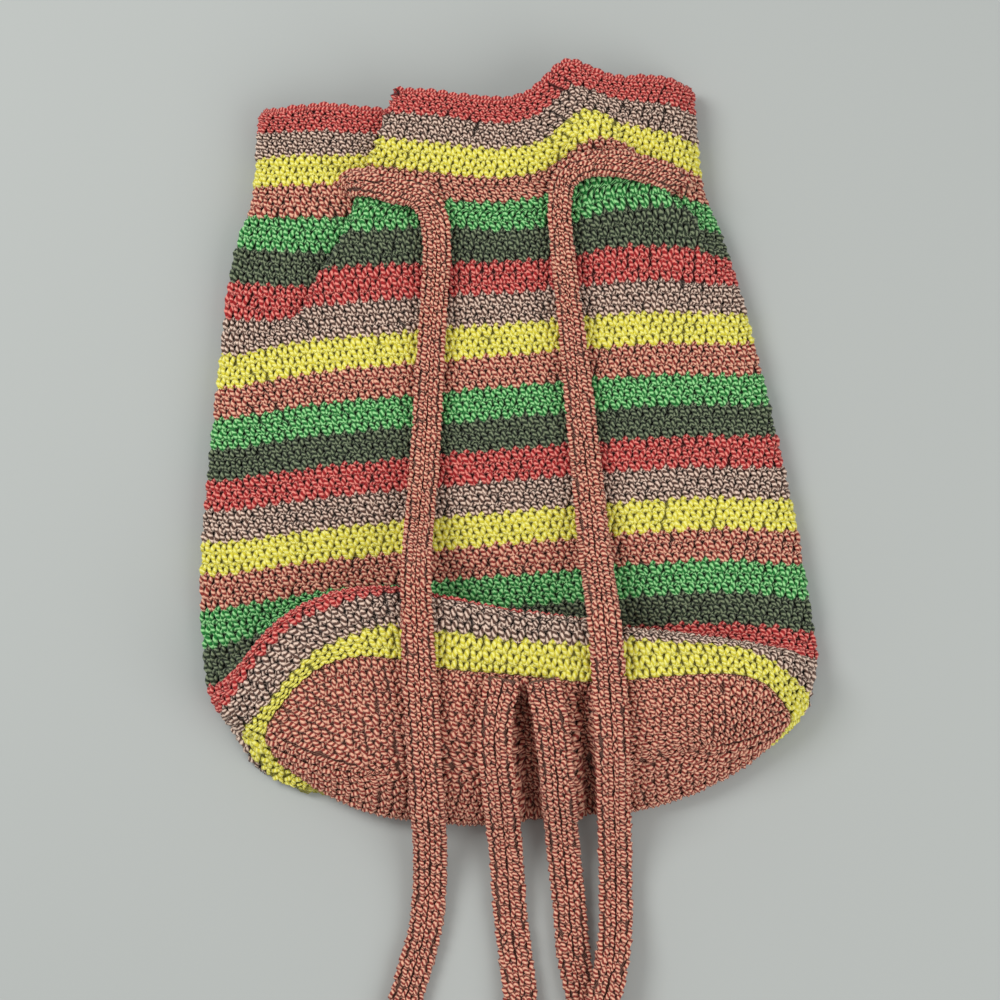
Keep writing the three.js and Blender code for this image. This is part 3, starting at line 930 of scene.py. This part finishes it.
def even_points(curves: Array, count: int, weight: Sequence[float] = (1.0, 1.0, 1.0)) -> Array:
    """Place points evenly by length along curves, with both ends kept.

    Args:
        curves: curves by points by 3.
        count: points wanted on each curve.
        weight: how much x, y and z count in the length.

    Returns:
        Curves by count by 3.
    """
    share = np.linspace(0, 1, count)

    def evened(line: Array, run: Array) -> Array:
        """One curve's points."""
        return np.stack([np.interp(share * run[-1], run, line[:, k]) for k in range(3)], -1)

    return np.array([evened(line, runs(line * np.array(weight))) for line in curves])


# Stitches


@dataclass(frozen=True)
class Stitch:
    """One V of crochet as two bent strands, one mirrored, in millimetres over flat cloth.

    A full stitch has a bar too, the loop that lies along the top of its round. The spreads say how
    far worked stitches differ in size and lean (shares) and in place (millimetres), and the yarn's
    run is the length of it on which each stitch starts somewhere else.
    """

    width: float = 5.65
    height: float = ROUND_HEIGHT
    radius: float = 1.15
    sides: int = 4
    mirror: tuple[float, float, float] = (-1.0, 1.0, 1.0)
    legs: tuple[tuple[float, float, float], ...] = (
        (0.25, -1.10, -1.0),
        (0.66, -0.10, 0.60),
        (1.28, 1.40, 1.00),
        (1.85, 2.75, 0.65),
        (2.10, 3.70, -0.95),
    )
    bar: tuple[tuple[float, float, float], ...] = ()
    size_spread: float = 0.08
    lean_spread: float = 0.1
    slip_spread: float = 0.18
    yarn_run: float = 97.0

    def template(self) -> Patch:
        """The strands: a ring of points carried along each leg and the bar, closed at its ends.

        Returns:
            The patch, with x across the stitch, y up the rounds and z out of the cloth.
        """
        leg = np.array(self.legs)
        count, sides = len(leg), self.sides
        angle = -2 * np.pi * np.arange(sides) / sides
        points = []
        strands = [leg, leg * self.mirror] + [np.array(self.bar)] * bool(self.bar)
        for path in strands:
            ahead = unit(np.gradient(path, axis=0))
            side = unit(np.cross(ahead, (0.0, 0.0, 1.0)))
            out = np.cross(side, ahead)
            ring = side[:, None] * np.cos(angle)[:, None] + out[:, None] * np.sin(angle)[:, None]
            points.append((path[:, None] + self.radius * ring).reshape(-1, 3))
        run = runs(leg)
        i, j = np.meshgrid(np.arange(count - 1), np.arange(sides), indexing="ij")
        u = np.stack([run[i], run[i], run[i + 1], run[i + 1]], -1)
        v = np.stack([j, j + 1, j + 1, j], -1) / sides
        uv = np.stack([u, v], -1).reshape(-1, 4, 2)
        quads, caps = ring_quads(count, sides), ring_caps(count, sides)
        shifts = [k * count * sides for k in range(len(strands))]
        return Patch(
            np.concatenate(points),
            [np.concatenate([quads + k for k in shifts]), np.concatenate([caps + k for k in shifts])],
            [np.tile(uv, (len(strands), 1, 1)), np.zeros((2 * len(strands), sides, 2))],
            # each point's height out of the cloth is its rise, so the low parts of the strands get
            # painted shade
            np.concatenate(points)[:, 2],
        )

    def work(
        self,
        cloth: Cloth,
        rows: Array,
        columns: Array,
        pitch: tuple[Array | float, Array | float],
        rng: np.random.Generator,
    ) -> Patch:
        """Repeat the stitch over cloth, each one a little different in size, lean and place.

        A point of the stitch goes to the cloth's row and column there, square to the round, and out
        along the cloth's normal.

        Args:
            cloth: what it is worked into.
            rows: cloth row at the foot of each stitch.
            columns: cloth column at the middle of each stitch.
            pitch: cloth rows and columns to a stitch.
            rng: source of the small differences.

        Returns:
            All the stitches as one patch.
        """
        template = self.template()
        count, many = len(rows), len(template.points)
        size = 1 + self.size_spread * rng.standard_normal((count, 1))
        lean = self.lean_spread * rng.standard_normal((count, 1))
        slip = self.slip_spread * rng.standard_normal((count, 2))
        x, y, z = (template.points[None, :, k] for k in range(3))
        across = x * size + lean * y + slip[:, :1]
        up = y * size + slip[:, 1:]
        per_row, per_column = (np.reshape(p, (-1, 1)) for p in pitch)
        row = rows[:, None] + up / self.height * per_row
        column = columns[:, None] + across / self.width * per_column
        at_row = np.clip(rows.astype(int), 0, cloth.upright.shape[0] - 1)
        upright = cloth.upright[at_row, columns.astype(int) % cloth.upright.shape[1]]
        column = column + upright[:, None] * (row - rows[:, None])
        points, normals = cloth.read(row, column)
        points = points + normals * (z * size)[..., None]
        shift = (np.arange(count) * many)[:, None, None]
        marks = rng.random((count, 1, 1, 2)) * (self.yarn_run, 0.0)
        faces = [(f[None] + shift).reshape(-1, f.shape[1]) for f in template.faces]
        uvs = [(u[None] + marks).reshape(-1, *u.shape[1:]) for u in template.uvs]
        return Patch(points.reshape(-1, 3), faces, uvs, np.tile(template.rise, count))


RICH = Stitch(
    bar=((-3.1, 3.8, -0.9), (-2.0, 4.15, -0.1), (-0.7, 4.3, 0.15), (0.6, 4.15, -0.1), (1.7, 3.8, -0.9)),
)
LIGHT = Stitch(
    radius=1.1,
    legs=((0.35, -1.2, -0.8), (0.85, 0.1, 0.8), (1.55, 2.4, 0.85), (1.9, 3.9, -0.8)),
)
CHAIN = Stitch(
    radius=1.05,
    mirror=(1.0, -1.0, 1.0),
    legs=((-3.2, 0.1, -0.6), (-1.7, 0.8, 0.5), (0.1, 1.1, 0.8), (1.9, 0.8, 0.5), (3.1, 0.1, -0.4)),
)
CORD = Stitch(
    width=5.4,
    height=4.2,
    radius=1.05,
    legs=((0.35, -1.2, -0.8), (0.85, 0.1, 1.05), (1.55, 2.4, 1.1), (1.9, 3.9, -0.8)),
)


# The bag


@dataclass
class Wall:
    """The striped wall: rounds of stitches over a backing, one piece a stripe."""

    form: BagForm
    stitches: int = 96  # in a round
    slant: float = 0.35  # stitches by which each round starts further on
    rows_per_round: int = 5
    columns_per_stitch: int = 6
    panel_points: int = 801  # across a panel, before they are spaced evenly
    weight: tuple[float, float, float] = (1.0, 0.6, 0.6)  # how much x, y and z count in the spacing
    soften: float = 4.0  # rows over which the upper panel is softened
    soften_under: float = 2.0  # and the lower one
    sink: float = 1.0  # how far the cloth lies inside the frame's surface
    fold_slope: float = 3.0  # how fast the sink turns round as the cloth is folded back
    fold_least: float = -1.5  # and how far
    ground_sink: float = 1.3  # added to the sink on the ground
    ground_stripes: tuple[float, float] = (1.0, 1.6)  # stripes over which the lower panel sinks
    ground_facing: tuple[float, float] = (-0.2, 0.2)  # and how steep it may be there
    backing: tuple[float, float] = (-0.7, -1.9)  # its outside and inside, out of the cloth
    backing_columns: int = 288
    backing_rows: int = 4
    backing_thin: float = 0.15  # share of its inside left in a fold
    lip: tuple[float, float] = (-0.5, -1.1)  # backing of the lip
    lip_sides: float = 0.08  # share of a panel beside the side folds where the lip has no pleat
    lip_facing: tuple[float, float] = (-0.3, 0.3)  # normals' z over which the lip's roll shrinks
    lip_least: float = 0.15  # share of the roll left
    lip_chain: float = 0.12  # rounds past the edge at which its chain lies
    tucked_stripe: int = 1  # stripe whose first round is tucked up underneath
    tucked_backing: tuple[float, float] = (-0.7, -1.0)
    tuck: float = 0.7  # rounds by which it is
    tuck_sides: tuple[float, float] = (1.0, 4.5)  # stitches from the side over which it starts
    side_stitches: int = 2  # stitches past the side folds that are still full ones
    seed: int = 100
    cloth: Cloth = field(init=False)

    def __post_init__(self) -> None:
        """Lay out the cloth: both panels of every round, spaced evenly, sunk, and turned in at the lip.

        It is sunk by what the stitches stand out of it, less where the fold turns back under itself,
        and more on the ground.
        """
        rounds = self.form.stripe_count * ROUNDS_PER_STRIPE
        rows = rounds * self.rows_per_round
        stripe = np.arange(rows + 1)[:, None] / (self.rows_per_round * ROUNDS_PER_STRIPE)
        across = -np.cos(np.linspace(0, np.pi, self.panel_points))[None]
        upper = smooth_rows(self.form.upper(across, stripe), self.soften)
        under = smooth_rows(self.form.under(-across, stripe), self.soften_under)
        half = self.stitches * self.columns_per_stitch // 2
        evened = [even_points(panel, half + 1, self.weight)[:, :-1] for panel in (upper, under)]
        loop = np.concatenate(evened, 1)
        normals = Cloth(loop).normals
        facing = normals[..., 2:]
        above = (np.arange(2 * half) < half)[:, None]
        folded = np.clip(1 + self.fold_slope * facing, self.fold_least, 1) * self.sink
        lowered = self.sink + self.ground_sink * np.clip(-facing, 0, 1)
        grounded = ease(stripe[..., None], *self.ground_stripes)
        lowered = lowered * mix(1.0, grounded, ease(-facing, *self.ground_facing))
        loop = loop - normals * np.where(above, folded, lowered)
        self.cloth = Cloth(self.turn_in(loop, normals[-1]))

    def turn_in(self, loop: Array, out: Array) -> Array:
        """Carry the cloth over the lip: half a circle inwards, then a round down the inside.

        The circle shrinks where a pleat folds the cloth back under itself.

        Args:
            loop: rows of the wall.
            out: normals of its last row.

        Returns:
            The rows with the lip's added.
        """
        edge = loop[-1]
        up = unit(edge - loop[-2])
        place = 2 * np.arange(len(edge)) / len(edge)
        pleated = (place > self.lip_sides) & (place < 1 - self.lip_sides)
        roll = np.where(pleated, ease(out[:, 2], *self.lip_facing), 1.0)[:, None]
        radius = np.maximum(roll, self.lip_least) * ROUND_HEIGHT / np.pi
        step = (np.arange(self.rows_per_round) + 1)[:, None, None] / self.rows_per_round
        over = edge + radius * (np.sin(np.pi * step) * up - (1 - np.cos(np.pi * step)) * out)
        inside = over[-1] - up * step * ROUND_HEIGHT
        return np.concatenate([loop, over, inside])

    def build(self, materials: dict[Yarn, bpy.types.Material]) -> list[bpy.types.Object]:
        """Make every stripe.

        Args:
            materials: material of each yarn.

        Returns:
            The pieces, from the base up.
        """
        order = range(self.form.stripe_count)
        return [self.stripe(k, materials[CYCLE[k % len(CYCLE)]]) for k in order]

    def stripe(self, index: int, material: bpy.types.Material) -> bpy.types.Object:
        """One stripe: full stitches on the upper panel and lighter ones underneath.

        The last stripe goes on over the lip, with a chain along the edge and a round inside.

        Args:
            index: which stripe, from the base up.
            material: its yarn.

        Returns:
            The piece.
        """
        rng = np.random.default_rng(self.seed + index)
        maker = MeshMaker(f"stripe_{index + 1:02d}")
        start = index * ROUNDS_PER_STRIPE
        end = start + ROUNDS_PER_STRIPE
        first, last = start * self.rows_per_round, end * self.rows_per_round
        faces = self.tucked_backing if index == self.tucked_stripe else self.backing
        steps = (self.backing_rows, self.backing_columns)
        # the backing shows between the stitches with the darkest painted shade
        maker.add(self.cloth.shell(first, last, *steps, faces, self.backing_thin))
        worked = np.arange(start, end)
        pitch = (self.rows_per_round, self.columns_per_stitch)
        if index == self.form.stripe_count - 1:
            over = last + 2 * self.rows_per_round - 1
            steps = (2 * self.backing_rows, self.backing_columns)
            # the lip's backing too, with the darkest painted shade
            maker.add(self.cloth.shell(last - 1, over, *steps, self.lip))
            worked = np.append(worked, end + 1)
            edge = np.full(self.stitches, (end + self.lip_chain) * self.rows_per_round)
            places = np.arange(self.stitches) * self.columns_per_stitch
            maker.add(CHAIN.work(self.cloth, edge, places, pitch, rng))
        rounds, places = np.meshgrid(worked, np.arange(self.stitches), indexing="ij")
        rows = (rounds * self.rows_per_round).ravel().astype(float)
        columns = ((places + self.slant * rounds) * self.columns_per_stitch).ravel()
        columns %= self.stitches * self.columns_per_stitch
        half = self.stitches * self.columns_per_stitch / 2
        margin = self.side_stitches * self.columns_per_stitch
        below = (columns > half + margin) & (columns < 2 * half - margin)
        if index == self.tucked_stripe:
            from_side = np.minimum(columns - half, 2 * half - columns) / self.columns_per_stitch
            tucked = (rounds.ravel() == start) * ease(from_side, *self.tuck_sides)
            rows = rows + self.tuck * self.rows_per_round * tucked
        for stitch, chosen in ((RICH, ~below), (LIGHT, below)):
            maker.add(stitch.work(self.cloth, rows[chosen], columns[chosen], pitch, rng))
        return maker.build(material)


@dataclass
class Base:
    """The oval base, worked in rounds from a chain out to the edge of the wall."""

    wall: Wall
    rounds: int = 10
    growth: int = 6  # stitches added from round to round
    rows_per_round: int = 5
    soften: float = 3.0  # rows over which it is softened
    lowest: float = 2.2  # height above the ground
    backing: tuple[float, float] = (-0.45, -1.9)  # its outside and inside, out of the cloth
    # rise that sets the painted shade of its backing, lighter than the wall's
    backing_shade_rise: float = -0.5
    hollows: tuple[tuple[float, float, float], ...] = ((4.9, 5.6, 12.0), (30.5, 4.2, 10.0))
    hollow_start: tuple[float, float] = (106.0, 116.0)  # distances over which the hollows deepen
    hollow_foot: tuple[float, float] = (2.0, 12.0)  # heights over which they end
    hollow_power: int = 4  # how flat their bottoms are
    seed: int = 50

    def layout(self) -> Cloth:
        """The base's cloth: its edge drawn in to the chain, softened across it, rounds evened out.

        Returns:
            Rows from the chain to the edge.
        """
        edge = self.wall.cloth.points[0]
        half = edge.shape[0] // 2
        upper = edge[: half + 1]
        lower = np.concatenate([edge[half:], edge[:1]])[::-1]
        share = np.linspace(0, 1, self.rounds * self.rows_per_round + 1)[:, None]
        anchor = (upper[None, :, 0] + lower[None, :, 0]) / 2
        top = self.wall.form.base_round(upper[None], anchor, share)
        bottom = self.wall.form.base_round(lower[None], anchor, share)
        profile = smooth_rows(np.concatenate([top[::-1], bottom[1:]]), self.soften)
        profile[..., 2] = np.maximum(profile[..., 2], self.lowest)
        rows = len(share)
        evened = np.swapaxes(even_points(np.swapaxes(profile, 0, 1), 2 * rows - 1), 0, 1)
        top, bottom = evened[rows - 1 :: -1], evened[rows - 1 :]
        smooth = Cloth(np.concatenate([top[:, :-1], bottom[:, :0:-1]], 1))
        return Cloth(smooth.points - smooth.normals * self.hollow(smooth.points)[..., None])

    def hollow(self, points: Array) -> Array:
        """How far the base sags in between the straps that hang down over it.

        Across, each hollow is a flat-bottomed bell with its own middle, width and depth. It starts
        below the edge and ends at the ground.

        Args:
            points: points of the base, in millimetres.

        Returns:
            Depth at each point.
        """
        x, y, z = np.moveaxis(points, -1, 0)
        along = ease(-y, *self.hollow_start) * ease(z, *self.hollow_foot)
        return along * sum(
            depth * np.exp(-(((x - middle) / width) ** self.hollow_power))
            for middle, width, depth in self.hollows
        )

    def build(self, material: bpy.types.Material) -> bpy.types.Object:
        """Make the base, with fewer stitches in each round towards the chain.

        Args:
            material: its yarn.

        Returns:
            The piece.
        """
        rng = np.random.default_rng(self.seed)
        cloth = self.layout()
        maker = MeshMaker("oval_base")
        last = self.rounds * self.rows_per_round
        steps = (2 * self.rounds, self.wall.backing_columns)
        maker.add(cloth.shell(0, last, *steps, self.backing, rise=self.backing_shade_rise))
        counts = self.wall.stitches - self.growth * np.arange(self.rounds)[::-1]
        columns_in_all = cloth.points.shape[1]
        rows = np.repeat(np.arange(self.rounds) * self.rows_per_round, counts).astype(float)
        starts = np.repeat(np.cumsum(counts) - counts, counts)
        pitch = np.repeat(columns_in_all / counts, counts)
        columns = (np.arange(counts.sum()) - starts + 0.5) * pitch
        maker.add(RICH.work(cloth, rows, columns, (self.rows_per_round, pitch), rng))
        return maker.build(material)


# The cord


@dataclass
class Drawstring:
    """The crocheted cord: a flattened tube along its route, worked in columns of stitches.

    The route is in metres. The slim guide gives the share of the width at each length along it.
    """

    route: tuple[tuple[float, float, float], ...]
    width: float = 14.5
    thickness: float = 8.0
    sink: float = 1.5  # how far the core lies inside that
    groove: float = 0.4  # share of the thickness taken by the groove
    groove_width: float = 1.3
    stitch: Stitch = CORD
    columns: int = 6  # of stitches round it
    columns_per_stitch: int = 4
    rows_per_stitch: int = 2
    steps_per_span: int = 40  # points from one point of the route to the next
    section_points: int = 721  # round the section, before they are spaced evenly
    soften: float = 4.0  # rows over which its twist is softened
    seeds: tuple[tuple[str, int], ...] = (("left", 7), ("right", 8))
    slim: Guide = Guide(
        (446, 1.06), (480, 1.03), (505, 0.9), (531, 0.86), (578, 0.885), (601, 0.86), (641, 0.79),
        (680, 0.855), (740, 0.85), (900, 0.8), (940, 0.7), (965, 0.62), (1005, 0.7), (1044, 0.858),
        (1068, 0.913), (1112, 1), (1150, 1), (1180, 1.05),
    )
    count: int = field(init=False)
    path: Array = field(init=False)
    cloth: Cloth = field(init=False)

    def __post_init__(self) -> None:
        """Lay out the middle line and the cloth round it."""
        line = self.curve()
        self.count = int(round(runs(line)[-1] / self.stitch.height))
        self.path = even_points(line[None], self.count * self.rows_per_stitch + 1)[0]
        self.cloth = Cloth(self.tube())

    def curve(self) -> Array:
        """A smooth line through the route's points.

        Between two points it is a cubic whose end slopes come from their neighbours, weighted by
        the square root of the distances between them.

        Returns:
            Points, in millimetres.
        """
        p = np.array(self.route) / METRE
        p = np.concatenate([[2 * p[0] - p[1]], p, [2 * p[-1] - p[-2]]])
        gap = np.sqrt(np.linalg.norm(np.diff(p, axis=0), axis=1))[:, None]
        a, b, c, d = p[:-3], p[1:-2], p[2:-1], p[3:]
        ga, gb, gc = gap[:-2], gap[1:-1], gap[2:]
        start = gb * ((b - a) / ga - (c - a) / (ga + gb) + (c - b) / gb)
        end = gb * ((c - b) / gb - (d - b) / (gb + gc) + (d - c) / gc)
        t = np.linspace(0, 1, self.steps_per_span + 1)[:-1, None, None]
        curve = cubic(t, b, c, start, end)
        return np.concatenate([np.swapaxes(curve, 0, 1).reshape(-1, 3), p[-2:-1]])

    def frames(self) -> tuple[Array, Array]:
        """Directions across the cord and out of its flat side.

        The width is level where the cord runs level; where it is upright it is carried over from
        its neighbours with a bell-shaped mean.

        Returns:
            Unit widths and unit outward directions along the path.
        """
        ahead = unit(np.gradient(self.path, axis=0))
        level = np.cross((0.0, 0.0, 1.0), ahead)
        hold = np.linalg.norm(level, axis=1, keepdims=True)
        level = unit(level)
        turned = np.sign(np.sum(level[1:] * level[:-1], axis=1))
        sign = np.concatenate([[1.0], np.cumprod(np.where(turned == 0, 1.0, turned))])
        soft = smooth_rows((level * sign[:, None] * hold**2)[:, None], self.soften)[:, 0]
        width = unit(soft - ahead * np.sum(soft * ahead, axis=1, keepdims=True))
        return width, np.cross(width, ahead)

    def tube(self) -> Array:
        """Rings round the path: a flattened oval with a shallow groove along both flat sides.

        Returns:
            Rows along the path by columns round it by 3.
        """
        angle = np.linspace(0, 2 * np.pi, self.section_points) + np.pi / 2
        x = (self.width / 2 - self.sink) * np.cos(angle)
        z = -(self.thickness / 2 - self.sink) * np.sin(angle)
        z = z * (1 - self.groove * np.exp(-((x / self.groove_width) ** 2)))
        section = np.stack([x, z, 0 * x], -1)
        ring = even_points(section[None], self.columns * self.columns_per_stitch + 1)[0, :-1]
        width, out = self.frames()
        width = width * self.slim(runs(self.path))[:, None]
        return self.path[:, None] + ring[:, :1] * width[:, None] + ring[:, 1:2] * out[:, None]

    def build(self, material: bpy.types.Material) -> tuple[bpy.types.Object, list[bpy.types.Object]]:
        """Args:
            material: its yarn.

        Returns:
            The core, and the pieces worked over it.
        """
        core = MeshMaker("cord_core")
        # the core shows between the stitches with the darkest painted shade
        tube = Patch.tube(self.cloth.points, DARKEST_SHADE_RISE)
        ends = ring_caps(*self.cloth.points.shape[:2])
        end_uvs = np.zeros((*ends.shape, 2))
        core.add(Patch(tube.points, [*tube.faces, ends], [*tube.uvs, end_uvs], tube.rise))
        body = core.build(material)
        parts = np.array_split(np.arange(self.count), len(self.seeds))
        worked = [self.cover(*seed, part, material) for seed, part in zip(self.seeds, parts)]
        length = float(runs(self.path)[-1]) * METRE
        log.info("cord: %.3f m", length)
        return body, worked

    def cover(self, side: str, seed: int, part: Array, material: bpy.types.Material) -> bpy.types.Object:
        """Stitches over one half of the cord, every second column half a stitch further on.

        Args:
            side: which half.
            seed: seed of its small differences.
            part: numbers of its stitches along the cord.
            material: its yarn.

        Returns:
            The piece.
        """
        rng = np.random.default_rng(seed)
        along, around = np.meshgrid(part, np.arange(self.columns), indexing="ij")
        rows = ((along + 0.5 * (around % 2)) * self.rows_per_stitch).ravel()
        columns = ((around + 0.5) * self.columns_per_stitch).ravel()
        maker = MeshMaker(f"cord_stitches_{side}")
        pitch = (self.rows_per_stitch, self.columns_per_stitch)
        maker.add(self.stitch.work(self.cloth, rows, columns, pitch, rng))
        return maker.build(material)


ROUTE = (
    (-0.0035, -0.104, 0.0457), (-0.009, -0.126, 0.042), (-0.009, -0.152, 0.0284),
    (-0.0085, -0.176, 0.01), (-0.009, -0.202, 0.0048), (-0.008, -0.25, 0.0043),
    (-0.014, -0.292, 0.0043), (-0.037, -0.312, 0.0043), (-0.06, -0.294, 0.0043),
    (-0.062, -0.254, 0.0043), (-0.046, -0.206, 0.0048), (-0.0415, -0.176, 0.0115),
    (-0.0405, -0.15, 0.029), (-0.0395, -0.122, 0.0408), (-0.038, -0.082, 0.0496),
    (-0.0365, -0.058, 0.054), (-0.0335, -0.034, 0.038), (-0.029, -0.006, 0.03),
    (-0.022, 0.044, 0.0296), (-0.0155, 0.09, 0.034), (-0.0165, 0.102, 0.0356),
    (-0.022, 0.1105, 0.037), (-0.032, 0.1135, 0.038), (-0.042, 0.117, 0.038),
    (-0.0505, 0.1195, 0.0295), (-0.053, 0.1165, 0.02), (-0.046, 0.1115, 0.0126),
    (-0.03, 0.11, 0.011), (0.02, 0.1084, 0.0112), (0.076, 0.1065, 0.0114),
    (0.09, 0.1068, 0.0144), (0.094, 0.108, 0.02), (0.09, 0.11, 0.026),
    (0.081, 0.113, 0.0318), (0.07, 0.1153, 0.0374), (0.06, 0.117, 0.0382),
    (0.051, 0.1164, 0.0382), (0.043, 0.1115, 0.0372), (0.0397, 0.102, 0.0356),
    (0.039, 0.084, 0.0336), (0.04, 0.044, 0.0296), (0.041, -0.028, 0.0302),
    (0.0412, -0.058, 0.038), (0.0415, -0.084, 0.0535), (0.0415, -0.108, 0.0464),
    (0.0408, -0.136, 0.039), (0.0398, -0.16, 0.0215), (0.0386, -0.188, 0.009),
    (0.034, -0.226, 0.0126), (0.024, -0.256, 0.013), (0.014, -0.286, 0.007),
    (0.018, -0.318, 0.0043), (0.044, -0.334, 0.0043), (0.066, -0.314, 0.0043),
    (0.056, -0.284, 0.0043), (0.028, -0.26, 0.0043), (0.0185, -0.238, 0.0043),
    (0.017, -0.202, 0.0048), (0.0165, -0.176, 0.0105), (0.016, -0.152, 0.0294),
    (0.0155, -0.128, 0.0422), (0.0135, -0.106, 0.0462),
)


# Studio


@dataclass(frozen=True)
class Lamp:
    """A round soft lamp that points at the origin, in metres and watts."""

    name: str
    place: tuple[float, float, float]
    size: float
    power: float

    def build(self) -> None:
        """Make the lamp and link it into the scene."""
        data = bpy.data.lights.new(self.name, "AREA")
        data.shape = "DISK"
        data.size = self.size
        data.energy = self.power
        lamp = bpy.data.objects.new(self.name, data)
        lamp.location = self.place
        lamp.rotation_euler = (-Vector(self.place)).to_track_quat("-Z", "Y").to_euler()
        bpy.context.scene.collection.objects.link(lamp)


@dataclass(frozen=True)
class Studio:
    """Floor, soft light and a camera that looks down on the lying bag, in metres and degrees."""

    target: tuple[float, float, float] = (0.0023, -0.0244, 0.015)
    distance: float = 1.2
    elevation: float = 84.0
    roll: float = 5.0
    view_angle: float = 20.8
    sensor: float = 36.0
    floor_colour: tuple[int, int, int] = (180, 184, 181)
    floor_roughness: float = 0.95
    floor_specular: float = 0.1
    floor_size: float = 6.0
    floor_height: float = -0.0006
    key: Lamp = Lamp("key", (-0.7, 0.5, 1.1), 0.7, 10.0)
    fill: Lamp = Lamp("fill", (0.9, -0.6, 1.0), 1.2, 8.0)
    sky_colour: tuple[float, float, float, float] = (1.0, 1.0, 1.0, 1.0)
    sky_strength: float = 0.5

    def build(self) -> None:
        """Make everything."""
        self.floor()
        self.camera()
        self.lights()

    def floor(self) -> None:
        """A plain pale floor."""
        half = self.floor_size / 2
        corners = [(-half, -half), (half, -half), (half, half), (-half, half)]
        mesh = bpy.data.meshes.new("floor")
        mesh.from_pydata([(x, y, self.floor_height) for x, y in corners], [], [(0, 1, 2, 3)])
        material = NodeBench("pale_floor").surface(
            Base_Color=linear(self.floor_colour),
            Roughness=self.floor_roughness,
            Specular_IOR_Level=self.floor_specular,
        )
        mesh.materials.append(material)
        floor = bpy.data.objects.new("floor", mesh)
        bpy.context.scene.collection.objects.link(floor)

    def camera(self) -> None:
        """A camera above the bag on the base's side, turned a little about its own axis."""
        tilt, lean = math.radians(self.elevation), math.radians(self.roll)
        ahead = np.array([math.sin(lean), math.cos(lean), 0.0])
        back = np.array([0.0, 0.0, math.sin(tilt)]) - ahead * math.cos(tilt)
        place = np.array(self.target) + back * self.distance
        right = unit(np.cross(ahead, back))
        up = np.cross(back, right)
        turned = np.eye(4)
        turned[:3] = np.stack([right, up, back, place], 1)
        data = bpy.data.cameras.new("camera")
        data.sensor_width = self.sensor
        data.lens = self.sensor / 2 / math.tan(math.radians(self.view_angle) / 2)
        camera = bpy.data.objects.new("camera", data)
        camera.matrix_world = Matrix(turned.tolist())
        bpy.context.scene.collection.objects.link(camera)
        bpy.context.scene.camera = camera

    def lights(self) -> None:
        """A large soft lamp from the upper left, a weaker one from the right, and an even sky."""
        self.key.build()
        self.fill.build()
        world = bpy.data.worlds.new("sky")
        world.use_nodes = True
        sky = world.node_tree.nodes["Background"]
        sky.inputs["Color"].default_value = self.sky_colour
        sky.inputs["Strength"].default_value = self.sky_strength
        bpy.context.scene.world = world
        bpy.context.scene.view_settings.view_transform = "Standard"


def main() -> None:
    """Build the studio, the cord, the wall and the base, and note the sizes."""
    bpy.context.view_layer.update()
    Studio().build()
    materials = {yarn: finish.material() for yarn, finish in FINISHES.items()}
    core, worked = Drawstring(ROUTE).build(materials[Yarn.TERRACOTTA])
    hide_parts("drawstring")
    wall = Wall(BagForm())
    stripes = wall.build(materials)
    base = Base(wall).build(materials[Yarn.TERRACOTTA])
    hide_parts("bag_body")
    for piece in (core, *worked):
        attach(piece, ROOT)
    for piece in (base, *stripes):
        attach(piece, ROOT)


if __name__ == "__main__":
    main()
